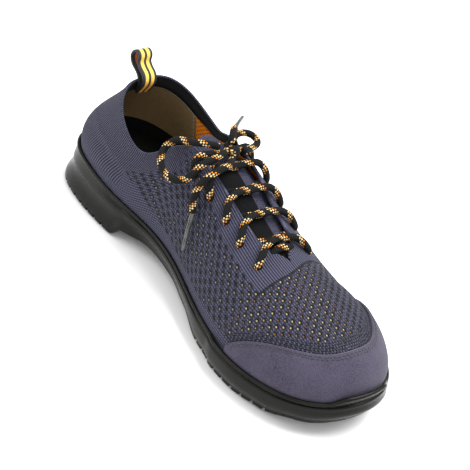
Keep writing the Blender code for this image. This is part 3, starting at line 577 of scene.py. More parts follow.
class Last:
    """The shoe's form, read at a station from 0 (heel) over 12 (toe) to 24 (heel again)."""

    def __init__(self):
        line, top, full = FEATHER_LINE, TOP_EDGE, WALL_FULLNESS
        rises = [row.rise for row in top]
        self.values = {
            "x": closed_loop([r.x[0] for r in line], [r.x[1] for r in line]) * LAST_LENGTH,
            "y": closed_loop([r.y_inner for r in line], [r.y_outer for r in line]) * BALL_HALF,
            "z": closed_loop([r.height for r in line], [r.height for r in line]) * SOLE_HEEL,
            "top_x": closed_loop([r.x for r in top], [r.x for r in top]) * LAST_LENGTH,
            "top_y": closed_loop([r.y_inner for r in top], [r.y_outer for r in top]) * BALL_HALF,
            "top_z": closed_loop(
                [r.z_inner * rise for r, rise in zip(top, rises)],
                [r.z_outer * rise for r, rise in zip(top, rises)],
            ),
        }
        for name in Fullness._fields:
            column = [getattr(row, name) for row in full]
            self.values[name] = closed_loop(column, column)
        outline = np.stack([self.values["x"], self.values["y"]], 1)
        self.knots = reach_along(np.vstack([outline, outline[:1]]))
        self.bends = {name: closed_spline(v, self.knots) for name, v in self.values.items()}

    def read(self, name, station):
        """A column of the tables at any station, on its closed spline."""
        values, bends, knots = self.values[name], self.bends[name], self.knots
        count = len(values)
        place = np.interp(np.mod(station, TURN), np.arange(count + 1), knots)
        k = np.clip(np.searchsorted(knots, place, side="right") - 1, 0, count - 1)
        after = (k + 1) % count
        span = knots[k + 1] - knots[k]
        d = place - knots[k]
        slope = (values[after] - values[k]) / span - span * (2 * bends[k] + bends[after]) / 6
        return values[k] + d * slope + d**2 * bends[k] / 2 + d**3 * (bends[after] - bends[k]) / (6 * span)

    def feather(self, station):
        """The line where upper and sole meet."""
        return np.stack([self.read(name, station) for name in ("x", "y", "z")], -1)

    def top(self, station):
        """The top edge; past the throat's base both sides share one ridge."""
        station = np.asarray(station, float)
        here = np.stack([self.read(n, station) for n in ("top_x", "top_y", "top_z")], -1)
        across = np.stack([self.read(n, TURN - station) for n in ("top_x", "top_y", "top_z")], -1)
        on_ridge = np.minimum(station, TURN - station) >= THROAT_BASE
        return np.where(on_ridge[..., None], (here + across) / 2, here)

    def outward(self, station):
        """The flat direction out of the shoe, square to the feather line."""
        step = 0.02
        ahead = self.feather(np.asarray(station, float) + step)
        behind = self.feather(np.asarray(station, float) - step)
        along = (ahead - behind)[..., :2]
        out = np.stack([along[..., 1], -along[..., 0]], -1)
        out /= np.linalg.norm(out, axis=-1, keepdims=True)
        return np.concatenate([out, np.zeros(out.shape[:-1] + (1,))], -1)

    def wall(self, station, height):
        """A point of the upper's outer face; height runs from 0, the feather line, to 1, the top edge."""
        station, height = np.broadcast_arrays(np.asarray(station, float), np.asarray(height, float))
        low = self.feather(station)
        high = self.top(station)
        flat = (low - high) * np.array([1.0, 1.0, 0.0])
        reach = np.linalg.norm(flat, axis=-1, keepdims=True)
        away = flat / np.maximum(reach, 1e-6)
        rise = (high - low)[..., 2:]
        up = np.array([0.0, 0.0, 1.0])
        full = {n: self.read(n, station)[..., None] for n in Fullness._fields}
        low_handle = low + away * full["low_out"] * rise + up * full["low_up"] * rise
        high_handle = high + away * full["high_out"] * reach + up * full["high_up"] * rise
        t = height[..., None]
        s = 1 - t
        return s**3 * low + 3 * s * s * t * low_handle + 3 * s * t * t * high_handle + t**3 * high

    def face_out(self, station, height):
        """The unit normal of the upper's outer face."""
        station, height = np.broadcast_arrays(np.asarray(station, float), np.asarray(height, float))
        beside = np.minimum(height, 0.96)
        along = self.wall(station + 0.03, beside) - self.wall(station - 0.03, beside)
        low = np.clip(height - 0.02, 0.0, 0.94)
        up = self.wall(station, low + 0.04) - self.wall(station, low)
        normal = np.cross(along, up)
        return normal / np.linalg.norm(normal, axis=-1, keepdims=True)

    def skin(self, station, height, offset):
        """The upper's outer face moved out by offset, or in where it is negative."""
        offset = np.asarray(offset, float)
        return self.wall(station, height) + self.face_out(station, height) * offset[..., None]


LAST = Last()


def even_stations(count, start=0.0, stop=None, always=()):
    """Stations evenly spaced along the feather line, with some that are always among them."""
    stop = TURN if stop is None else stop
    knots = LAST.knots
    ends = np.interp([start, stop], np.arange(TURN + 1), knots)
    places = np.interp(np.linspace(ends[0], ends[1], count + 1), knots, np.arange(TURN + 1))
    places[0], places[-1] = start, stop
    for station in always:
        places[np.argmin(np.abs(places - station))] = station
    return places


def past_cap_edge(points):
    """How far points lie in front of the toe cap's back edge."""
    middle = BALL_HALF * FEATHER_LINE[-1].y_inner
    sweep = (CAP_MIDDLE - CAP_ENDS) * (np.abs(points[..., 1] - middle) / CAP_SPREAD) ** CAP_CURVE
    return points[..., 0] - (CAP_MIDDLE - sweep)


def cap_end(stations):
    """The station where the cap's back edge meets the feather line."""
    return float(np.interp(0.0, past_cap_edge(LAST.feather(stations)), stations))


CAP_START = cap_end(np.linspace(TOE / 2, TOE - 2, 120))
CAP_STOP = cap_end(np.linspace(TURN - TOE / 2, TOE + 2, 120))


def eased(knots, values, at):
    """Values joined by soft steps that never overshoot."""
    at = np.clip(at, knots[0], knots[-1])
    k = np.clip(np.searchsorted(knots, at, side="right") - 1, 0, len(knots) - 2)
    f = (at - knots[k]) / (knots[k + 1] - knots[k])
    f = f * f * (3 - 2 * f)
    return values[k] * (1 - f) + values[k + 1] * f


def side_value(name, station):
    """A column of SOLE_SIDES at a station; wall and flare have one each for the two sides."""
    column = name
    if name in ("wall", "flare"):
        column = name + ("_inner" if station <= TOE else "_outer")
    values = np.array([getattr(row, column) for row in SOLE_SIDES])
    return float(eased(np.arange(TOE + 1.0), values, min(station, TURN - station)))


def tread_height(x, on_inner):
    """The tread's height above the floor at x, on one side."""
    knots = np.array([row.x for row in TREAD_LINE]) * LAST_LENGTH
    values = np.array([row.inner if on_inner else row.outer for row in TREAD_LINE]) * SOLE_HEEL
    return float(eased(knots, values, x))


def lip_offset(station):
    """How far outside the upper the lip's inner face stands: more where the toe cap lies between."""
    near = min(station, TURN - station)
    start = min(CAP_START, TURN - CAP_STOP)
    share = float(eased(np.array([start - LIP_TURN, start - 0.1]), np.array([0.0, 1.0]), near))
    return CLEARANCE + share * (CAP_THICKNESS + CLEARANCE)


def bumper(station):
    """The toe bumper's plateau, 1 on it and 0 beside it."""
    near = min(station, TURN - station)
    return float(eased(np.array([BUMPER_FOOT, BUMPER_PLATEAU]), np.array([0.0, 1.0]), near))


def seat_height(station):
    """The sole's floor under the upper's edge."""
    return float(LAST.read("z", station)) - SEAT_DEPTH - CLEARANCE


# How far each of the section's corners is rounded, in metres
SOLE_ROUNDING = (
    0.0004, 0.0, 0.0, 0.0, 0.0009, 0.0009, 0.0006, 0.0008, 0.0007, 0.0040, 0.0016, 0.0008, 0.0007, 0.0,
)
CORNER_STEPS = 4


def sole_profile(station):
    """One side's section from the seat out over the lip and down to the tread, its corners rounded."""
    base = LAST.feather(station)
    out = LAST.outward(station)
    lip = lip_offset(station)
    top = base[2]
    seat = seat_height(station)
    rise = bumper(station) * BUMPER_RISE
    flare = FLARE * side_value("flare", station)
    wall = FLARE * side_value("wall", station)
    bottom = tread_height((base + out * (lip + flare))[0], station <= TOE)
    side = top - bottom
    ridge = top - side_value("ridge", station) * side
    corners = np.array([
        (-3 * SEAT_DEPTH / 2, seat),
        (lip, seat),
        (lip, top),
        (lip + 0.3 * rise, top + rise),
        (lip + 0.3 * rise + BEAD, top + rise + 0.3 * BEAD),
        (lip + 0.3 * rise + 2 * BEAD, top + rise - 0.7 * BEAD),
        (lip + 0.8 * BEAD, top - 2.2 * BEAD),
        (lip + 1.9 * BEAD, ridge + 0.8 * BEAD),
        (lip + 2.1 * BEAD, ridge - 0.8 * BEAD),
        (lip + 0.4 * BEAD + wall, bottom + 0.45 * side),
        (lip + flare, bottom + 0.16 * side),
        (lip + flare, bottom + 0.05 * side),
        (lip + flare - 1.2 * BEAD, bottom),
        (-2 * SEAT_DEPTH, bottom),
    ])
    steps = []
    for i, corner in enumerate(corners):
        if SOLE_ROUNDING[i] == 0.0 or i in (0, len(corners) - 1):
            steps.append(corner)
            continue
        ends = []
        for beside in (corners[i - 1], corners[i + 1]):
            edge = beside - corner
            length = np.linalg.norm(edge)
            ends.append(corner + edge * min(SOLE_ROUNDING[i], 0.45 * length) / length)
        start, stop = ends
        for f in np.linspace(0, 1, CORNER_STEPS):
            steps.append((1 - f) ** 2 * start + 2 * f * (1 - f) * corner + f * f * stop)
    return [base * np.array([1, 1, 0]) + out * away + np.array([0, 0, z]) for away, z in steps]


WELD = 0.00002


def grid_mesh(name, grid, places=None, marks=None, closed_rows=False, inner_from=None):
    """A smooth mesh over grid[column][row], doubles welded; places give its UV map, marks its point values.

    Faces from the row inner_from on take the second material.
    """
    grid = np.asarray(grid, float)
    columns, rows = grid.shape[:2]
    index = np.arange(columns * rows).reshape(columns, rows)
    if closed_rows:
        index = np.concatenate([index, index[:, :1]], 1)
    quads = np.stack([index[:-1, :-1], index[1:, :-1], index[1:, 1:], index[:-1, 1:]], -1)
    row_of = np.broadcast_to(np.arange(quads.shape[1])[None], quads.shape[:2]).ravel()
    quads = quads.reshape(-1, 4)
    points = (grid - ORIGIN).reshape(-1, 3)
    _, first, same = np.unique(np.round(points / WELD).astype(np.int64), axis=0,
                               return_index=True, return_inverse=True)
    same = same.ravel()
    faces, corners, kept_rows = [], [], []
    for quad, row in zip(quads.tolist(), row_of.tolist()):
        face, used = [], []
        for corner in quad:
            welded = same[corner]
            if welded not in face:
                face.append(int(welded))
                used.append(corner)
        if len(face) > 2:
            faces.append(face)
            corners += used
            kept_rows.append(row)
    mesh = bpy.data.meshes.new(name)
    mesh.from_pydata(points[first].tolist(), [], faces)
    if places is not None:
        layer = mesh.uv_layers.new(name="lengths")
        layer.data.foreach_set("uv", np.asarray(places, np.float32).reshape(-1, 2)[corners].ravel())
    for key, values in (marks or {}).items():
        mark = mesh.attributes.new(key, "FLOAT", "POINT")
        mark.data.foreach_set("value", np.asarray(values, np.float32).ravel()[first])
    if inner_from is not None:
        mesh.polygons.foreach_set("material_index", [1 if row >= inner_from else 0 for row in kept_rows])
    mesh.shade_smooth()
    return mesh


def face_outward(mesh):
    """Turns a closed mesh's faces outward."""
    shape = bmesh.new()
    shape.from_mesh(mesh)
    bmesh.ops.recalc_face_normals(shape, faces=shape.faces)
    shape.to_mesh(mesh)
    shape.free()


def station_at(x, inner):
    """The station of the feather line's point at x, on the inner or the outer side."""
    stations = np.linspace(0, TOE, 240) if inner else np.linspace(TURN, TOE, 240)
    return float(np.interp(x, LAST.read("x", stations), stations))


def add_groove(shape, place, length, turn):
    """A block that cuts one groove, centred on the tread's surface."""
    box = bmesh.ops.create_cube(shape, size=1.0)
    size = Matrix.Diagonal((LUG_GROOVE, length, 2 * LUG_DEPTH, 1.0))
    matrix = Matrix.Translation(place) @ Matrix.Rotation(turn, 4, "Z") @ size
    bmesh.ops.transform(shape, matrix=matrix, verts=box["verts"])


def tread_grooves():
    """Notches in the tread's rim under heel and forefoot, and cross grooves down its middle."""
    shape = bmesh.new()
    for pad in TREAD_PADS:
        count = int((pad.stop - pad.start) * LAST_LENGTH / LUG_PITCH)
        for i in range(count + 1):
            x = pad.start * LAST_LENGTH + i * LUG_PITCH
            inner_y, outer_y = (LAST.feather(station_at(x, inner))[1] for inner in (True, False))
            for inner, y in ((True, inner_y), (False, outer_y)):
                place = Vector((x - HEEL_CENTRE, y, tread_height(x, inner)))
                add_groove(shape, place, 2 * LUG_REACH, LUG_TURN if inner else -LUG_TURN)
            if i % 2 == 0:
                width = outer_y - inner_y - 2 * LUG_REACH - 4 * LUG_GROOVE
                height = max(tread_height(x, True), tread_height(x, False))
                add_groove(shape, Vector((x - HEEL_CENTRE, (inner_y + outer_y) / 2, height)), width, 0.0)
    return shape


def cut_with(piece, shape):
    """Cuts the closed forms of a bmesh out of a piece, and gives the piece's new mesh."""
    tools = bpy.data.meshes.new(piece.name + "_tools")
    shape.to_mesh(tools)
    shape.free()
    cutter = bpy.data.objects.new(tools.name, tools)
    bpy.context.scene.collection.objects.link(cutter)
    cut = piece.modifiers.new("Cut", "BOOLEAN")
    cut.operation = "DIFFERENCE"
    cut.object = cutter
    cut.solver = "EXACT"
    bpy.context.view_layer.update()
    shaped = piece.evaluated_get(bpy.context.evaluated_depsgraph_get())
    piece.data = bpy.data.meshes.new_from_object(shaped)
    piece.modifiers.clear()
    bpy.data.objects.remove(cutter, do_unlink=True)
    piece.data.shade_smooth()
    return piece.data


def sole_material():
    """Moulded foam rubber: near black with an olive cast, satin, a fine moulded grain and faint dust."""
    rubber = Finish("moulded_sole", 0.5, Specular_IOR_Level=0.14)
    grain = use_group(GRAIN, rubber.place(), Scale=2600.0, Spots=70.0)
    colour = mixed(grain["Spot"], rgb(0.0035, 0.0037, 0.0027), rgb(0.0060, 0.0064, 0.0048))
    colour = mixed(grain["Shade"] * 0.12, colour, rgb(0.022, 0.023, 0.018))
    return rubber.done(colour, grain["Height"], 0.00012, Roughness=grain["Spot"] * 0.08 + 0.17)


def build_sole():
    """The sole lofted through rounded sections from heel to toe, its lugs cut afterwards."""
    sections = []
    for station in even_stations(SOLE_COLUMNS, 0.0, TOE):
        inner = sole_profile(station)
        outer = inner if station in (0, TOE) else sole_profile(TURN - station)
        sections.append(inner[::-1] + outer)
    mesh = grid_mesh("sole_unit", sections, closed_rows=True)
    face_outward(mesh)
    sole = add_piece("sole_unit", mesh, [sole_material()])
    cut_with(sole, tread_grooves()).set_sharp_from_angle(angle=SHARP_EDGE)
    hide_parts("sole")


build_sole()


# Upper
# One knitted sock of slate yarn, in a single wall: ribbed round the collar and along the throat, with
# small holes on the sides and larger ones over the toes. It is lined with sueded cloth at the heel and
# orange mesh in front.

UPPER_COLUMNS = 640
UPPER_ROWS = 78
LINING_ROWS = 40
ROLL_STEPS = 8
EYELET = 0.0054
COLLAR_PAD = 0.0016
# slate tones; the dark one also paints shade in the knit's hollows, the light one paints light on its crests
SLATE_DARK = rgb(0.0065, 0.0065, 0.013)
SLATE = rgb(0.031, 0.031, 0.057)
SLATE_LIGHT = rgb(0.078, 0.077, 0.125)
# painted shade inside the knit's holes
HOLE_SHADE = rgb(0.002, 0.002, 0.003)
# the lining's tones where painted light falls on it inside the vamp's holes
LINING_CREAM = rgb(0.36, 0.28, 0.13)
LINING_ORANGE = rgb(0.20, 0.06, 0.008)

EyeletRow = namedtuple("EyeletRow", "station inset")
EYELET_ROWS = (
    # a pair of lace holes each, toe end first; inset from the throat's edge in metres
    EyeletRow(7.20, 0.0140),
    EyeletRow(6.45, 0.0110),
    EyeletRow(5.85, 0.0105),
    EyeletRow(5.15, 0.0105),
    EyeletRow(4.55, 0.0105),
)


Crease = namedtuple("Crease", "lift width places")
CREASES = (
    # lift and width in metres, a trough where lift is below 0; places are pairs of station and height
    # the welt below the collar's ribs, and the hollow under it
    Crease(0.0007, 0.0032, ((1.15, 0.47), (2.15, 0.55), (2.80, 0.55), (3.30, 0.52), (3.65, 0.53))),
    Crease(-0.0006, 0.0042, ((1.30, 0.34), (2.20, 0.42), (2.90, 0.44), (3.45, 0.42))),
    Crease(0.0006, 0.0032, ((22.80, 0.48), (21.85, 0.54), (21.20, 0.55), (20.60, 0.53))),
    Crease(-0.0005, 0.0042, ((22.60, 0.35), (21.80, 0.42), (21.10, 0.44))),
    # the waist
    Crease(-0.0006, 0.0060, ((2.90, 0.18), (3.60, 0.22), (4.50, 0.24), (5.20, 0.22))),
    Crease(-0.0005, 0.0060, ((20.90, 0.20), (19.80, 0.24), (18.90, 0.24))),
    # puckers that the lacing draws below and between its holes
    Crease(-0.0006, 0.0024, ((4.55, 0.66), (4.50, 0.54))),
    Crease(-0.0006, 0.0024, ((5.15, 0.72), (5.12, 0.56))),
    Crease(-0.0006, 0.0024, ((5.85, 0.72), (5.80, 0.56))),
    Crease(-0.0005, 0.0024, ((6.45, 0.74), (6.42, 0.60))),
    Crease(0.0005, 0.0026, ((4.85, 0.86), (4.82, 0.66))),
    Crease(0.0005, 0.0026, ((5.50, 0.88), (5.46, 0.66))),
    Crease(0.0004, 0.0026, ((6.15, 0.88), (6.12, 0.70))),
    Crease(-0.0006, 0.0024, ((18.85, 0.72), (18.88, 0.56))),
    Crease(-0.0006, 0.0024, ((18.15, 0.72), (18.20, 0.56))),
    Crease(-0.0005, 0.0024, ((17.55, 0.74), (17.58, 0.60))),
    # the ball, where the shoe bends
    Crease(-0.0004, 0.0045, ((7.60, 0.30), (7.90, 0.62))),
    Crease(-0.0004, 0.0045, ((16.30, 0.30), (16.00, 0.62))),
)


def arc_lengths(points, keep=(1, 1, 1)):
    """Lengths along each column from its first row, counting only some of x, y and z."""
    steps = np.linalg.norm(np.diff(points, axis=1) * np.array(keep, float), axis=2)
    return np.concatenate([np.zeros((len(points), 1)), np.cumsum(steps, axis=1)], 1)


def eyelet(row, inner):
    """The centre of a lace hole and the direction out of it."""
    station = row.station if inner else TURN - row.station
    heights = np.linspace(0.4, 1.0, 61)
    face = LAST.wall(np.full(heights.shape, station), heights)
    steps = np.linalg.norm(np.diff(face, axis=0), axis=1)
    below_edge = np.append(np.cumsum(steps[::-1])[::-1], 0.0)
    height = np.interp(row.inset, below_edge[::-1], heights[::-1])
    return LAST.wall(station, height), LAST.face_out(station, height)


def stitch_group():
    """Knit stitches: leaning pairs of strands in wales side by side across x, course after course up y."""
    group, given, result = new_group("knit_stitches", {"Width": 0.0017, "Rise": 0.0012}, ("Height", "Shade"))
    across, up, _ = parts(given["Vector"])
    beside = abs(calc("FRACT", across / given["Width"]) - 0.5)
    level = up / given["Rise"] - beside * 1.4
    crown = step_up(abs(calc("FRACT", level) - 0.5), 0.5, 0.1)
    height = step_up(beside, 0.5, 0.2) * (crown * 0.6 + 0.4)
    speck = step_up(noise(given["Vector"], 1100.0, 2.0), 0.32, 0.7)
    # Shade is painted light on the strands' crowns and painted shade between them, with random specks
    feed(result, {"Height": height, "Shade": height * 0.5 + speck * 0.5})
    return group


def hole_group():
    """Staggered holes over x and y: the hole, its lining's painted lit part, its dimple and a value of its
    own.
    """
    group, given, result = new_group(
        "knit_holes",
        {"Pitch U": 0.0045, "Pitch V": 0.0036, "Half U": 0.0009, "Half V": 0.0006, "Slant": 0.0},
        ("Hole", "Lining", "Dimple", "Cell"),
    )
    across, up, _ = parts(given["Vector"])
    level = up / given["Pitch V"]
    row = calc("FLOOR", level)
    column = across / given["Pitch U"] + (row % 2.0) * 0.5
    away_u = (calc("FRACT", column) - 0.5) * given["Pitch U"]
    away_v = (calc("FRACT", level) - 0.5) * given["Pitch V"]
    leaned = away_u + away_v * given["Slant"]
    number = vector_of(calc("FLOOR", column), row)
    cell = Field(put(group, "TexWhiteNoise", {"noise_dimensions": "2D"}, Vector=number).outputs[0])
    size = cell * 0.3 + 0.85
    reaches = []
    for shift_u, shift_v in ((0.0, 0.0), (0.25, 0.45)):
        u = leaned / given["Half U"] + shift_u
        v = away_v / given["Half V"] + shift_v
        reaches.append(calc("SQRT", u * u + v * v) / size)
    hole = step_up(reaches[0], 1.15, 0.85)
    # an offset part of each hole where the lining is painted as lit
    lining = hole * step_up(reaches[1], 0.52, 0.30)
    feed(result, {"Hole": hole, "Lining": lining, "Dimple": step_up(reaches[0], 2.4, 0.9), "Cell": cell})
    return group


def rib_height(value, pitch):
    """Even round ribs along value."""
    return calc("SINE", value * (2 * math.pi / pitch)) * 0.5 + 0.5


STITCHES = stitch_group()
HOLES = hole_group()
SIDE_PITCH = (0.0075, 0.00346)
VAMP_PITCH = (0.0059, 0.00346)
TOE_MESH_PITCH = 0.0021
EYESTAY_HALF = 0.0315
SEAM_HALF = 0.0360
SEAM_X = 0.1694
WALE = 0.00173
COURSE = 0.0021
SEAM_STITCH = 0.0021
COLLAR_RIB = 0.0015
HEEL_RIB = 0.0018
# The heel's wales lean forward on the sides and lie flatter round the back, within HEEL_TURN of its middle
HEEL_WALES = (0.82, -0.25)
HEEL_WALES_BACK = (0.41, -0.70)
HEEL_TURN = 0.030
# How far the collar's ribs reach down: stations from the heel, and depths in metres
COLLAR_DEPTHS = ((0.0, 1.5, 2.8, 3.4, 3.9, 4.4), (0.026, 0.024, 0.017, 0.016, 0.018, 0.018))


def knit_material():
    """The upper's knit, its zones told apart by each point's distance from collar, sole and toe cap."""
    knit = Finish("slate_knit", 0.95, Specular_IOR_Level=0.2, Sheen_Weight=0.05, Sheen_Roughness=0.6)
    place = knit.lengths()
    u, v, _ = parts(place)
    x, y, z = parts(knit.place())
    stitches = use_group(STITCHES, vector_of(v, u), Width=WALE, Rise=COURSE)
    from_foot, from_cap = knit.mark("from_foot"), knit.mark("from_cap")
    collar, vamp = knit.mark("collar"), knit.mark("vamp")
    # zones; the seam across the throat's base lies further back on the outer side
    from_seam = x + step_up(v, -0.012, 0.020) * 0.0075 - SEAM_X
    from_middle = abs(v)
    narrower = step_up(x, 0.125, 0.085) * 0.0100
    beside_throat = step_up(from_middle + narrower, EYESTAY_HALF + 0.0012, EYESTAY_HALF - 0.0012)
    eyestay = step_up(from_seam, 0.0006, -0.0006) * beside_throat * step_up(x, 0.066, 0.076)
    plain_foot = step_up(from_foot, 0.0085, 0.0060)
    low_back = step_up(x * 0.25 + z, 0.0565, 0.0540)
    near_cap = step_up(from_cap, -0.0098, -0.0088)
    heel = step_up(x, 0.034, 0.026)
    low = calc("MAXIMUM", plain_foot, low_back * step_up(x, 0.110, 0.090))
    closed = calc("MAXIMUM", low, calc("MAXIMUM", heel, collar))
    open_side = (1.0 - closed) * (1.0 - eyestay) * (1.0 - near_cap)
    on_side = open_side * (1.0 - vamp)
    on_vamp = open_side * vamp
    toe_zone = near_cap * (1.0 - plain_foot)
    # holes
    side_holes = use_group(HOLES, place, Pitch_U=SIDE_PITCH[0], Pitch_V=SIDE_PITCH[1],
                           Half_U=0.0017, Half_V=0.0010, Slant=0.5)
    vamp_holes = use_group(HOLES, place, Pitch_U=VAMP_PITCH[0], Pitch_V=VAMP_PITCH[1],
                           Half_U=0.0014, Half_V=0.0011, Slant=0.3)
    cap_holes = use_group(HOLES, vector_of(v, from_cap), Pitch_U=TOE_MESH_PITCH,
                          Pitch_V=TOE_MESH_PITCH * 0.86, Half_U=0.00055, Half_V=0.00055, Slant=0.2)
    hole, dimple = (
        side_holes[kind] * on_side + vamp_holes[kind] * on_vamp + cap_holes[kind] * toe_zone
        for kind in ("Hole", "Dimple")
    )
    # ribs, whose hollows at the heel and the collar are darkened with painted shade
    below_collar = 1.0 - collar
    heel_share = heel * step_up(from_foot, 0.002, 0.010) * below_collar * 0.9
    height, painted_valley_shade = stitches["Height"], 0.0
    for share, ribs, gets_valley_shade in (
        (heel_share, rib_height(knit.mark("heel_wales"), HEEL_RIB), True),
        (eyestay * below_collar * 0.95, rib_height(v, WALE), False),
        (collar * 0.95, rib_height(knit.mark("along_edge"), COLLAR_RIB), True),
    ):
        height = height + share * (ribs - height)
        if gets_valley_shade:
            painted_valley_shade = painted_valley_shade + share * (1.0 - ribs)
    height = height - dimple * 0.5
    # colour: painted shade in the hollows of stitches, ribs and hole dimples, painted light on the crests
    shade = height * 0.7 + stitches["Shade"] * 0.35
    colour = mixed(step_up(shade, 0.05, 0.5), SLATE_DARK, SLATE)
    colour = mixed(step_up(shade, 0.45, 1.0), colour, SLATE_LIGHT)
    colour = mixed(step_up(painted_valley_shade, 0.25, 0.9), colour, SLATE_DARK)
    # painted shade fills the holes
    colour = mixed(step_up(hole, 0.1, 0.6), colour, HOLE_SHADE)
    # painted light on the lining in the vamp's holes, only on its inner side and middle, and pale painted
    # specks of light in a few side holes
    lining_tone = mixed(step_up(vamp_holes["Cell"], 0.25, 0.6), LINING_ORANGE, LINING_CREAM)
    lit = on_vamp * step_up(y, 0.014, 0.004)
    colour = mixed(vamp_holes["Lining"] * lit, colour, lining_tone)
    pale = side_holes["Lining"] * on_side * step_up(side_holes["Cell"], 0.6, 0.75)
    colour = mixed(pale, colour, rgb(0.17, 0.15, 0.13))
    seam = step_up(abs(from_seam), 0.0011, 0.0005)
    seam = seam * step_up(from_middle, SEAM_HALF + 0.001, SEAM_HALF - 0.001)
    stitch = step_up(calc("FRACT", v / SEAM_STITCH), 0.25, 0.45)
    seam = seam * (stitch * 0.35 + 0.65)
    colour = mixed(seam, colour, rgb(0.0035, 0.0035, 0.006))
    return knit.done(colour, height - (hole * 1.2 + seam), 0.0005)


LINING_TOP = 0.0095
LINING_FOOT = 0.0390


def lining_material():
    """Beige sueded cloth at the heel and orange mesh ahead, under a dark band and over a dark foot cup."""
    lining = Finish("shoe_lining", 0.95, Specular_IOR_Level=0.2)
    x, _, z = parts(lining.place())
    grain = use_group(GRAIN, lining.place(), Scale=1500.0, Spots=90.0)
    holes = use_group(HOLES, lining.lengths(), Pitch_U=0.0034, Pitch_V=0.0017,
                      Half_U=0.0005, Half_V=0.0005, Slant=0.0)
    beige = mixed(grain["Shade"], rgb(0.185, 0.126, 0.054), rgb(0.235, 0.166, 0.078))
    orange = mixed(holes["Hole"], rgb(0.85, 0.24, 0.012), rgb(0.06, 0.012, 0.003))
    ahead = x - (z * -0.16 + 0.0265)
    colour = mixed(step_up(ahead, -0.0004, 0.0004), beige, orange)
    dash = step_up(calc("FRACT", z / 0.0028), 0.35, 0.5)
    colour = mixed(step_up(abs(ahead + 0.0030), 0.0006, 0.0003) * dash, colour, rgb(0.32, 0.29, 0.25))
    reach = step_up(x, 0.012, 0.032) * -0.0045 + LINING_TOP + step_up(x, 0.080, 0.095) * 0.0040
    below_band = lining.mark("from_edge") - reach
    piping = step_up(abs(below_band - 0.0006), 0.0009, 0.0005) * step_up(ahead, 0.0004, -0.0004)
    colour = mixed(piping, colour, rgb(0.42, 0.37, 0.28))
    black = mixed(grain["Shade"], rgb(0.0025, 0.0025, 0.003), rgb(0.007, 0.0075, 0.008))
    slate = mixed(grain["Shade"], SLATE_DARK, SLATE)
    band = step_up(below_band, 0.0004, -0.0004)
    foot_cup = step_up(z, LINING_FOOT + 0.0004, LINING_FOOT - 0.0004)
    dark = mixed(step_up(x, 0.078, 0.090), black, slate)
    colour = mixed(calc("MAXIMUM", band, foot_cup), colour, dark)
    return lining.done(colour, grain["Height"] - holes["Hole"] * 0.6, 0.0002)


def collar_share(stations):
    """1 along the collar, falling to 0 where the throat's edge begins."""
    near = np.minimum(stations, TURN - stations)
    return 1 - eased(np.array([3.9, 4.5]), np.array([0.0, 1.0]), near)


def crease_lift(face):
    """How far the ridges and troughs lift the outer face at its points."""
    lift = np.zeros(face.shape[:-1])
    for crease in CREASES:
        places = np.linspace(0, len(crease.places) - 1, 25 * len(crease.places))
        route = [np.interp(places, range(len(crease.places)), part) for part in zip(*crease.places)]
        line = LAST.wall(*route)
        away = np.full(lift.shape, 1.0)
        for point in line:
            away = np.minimum(away, np.linalg.norm(face - point, axis=-1))
        lift += crease.lift * np.exp(-((away / crease.width) ** 2))
    return lift


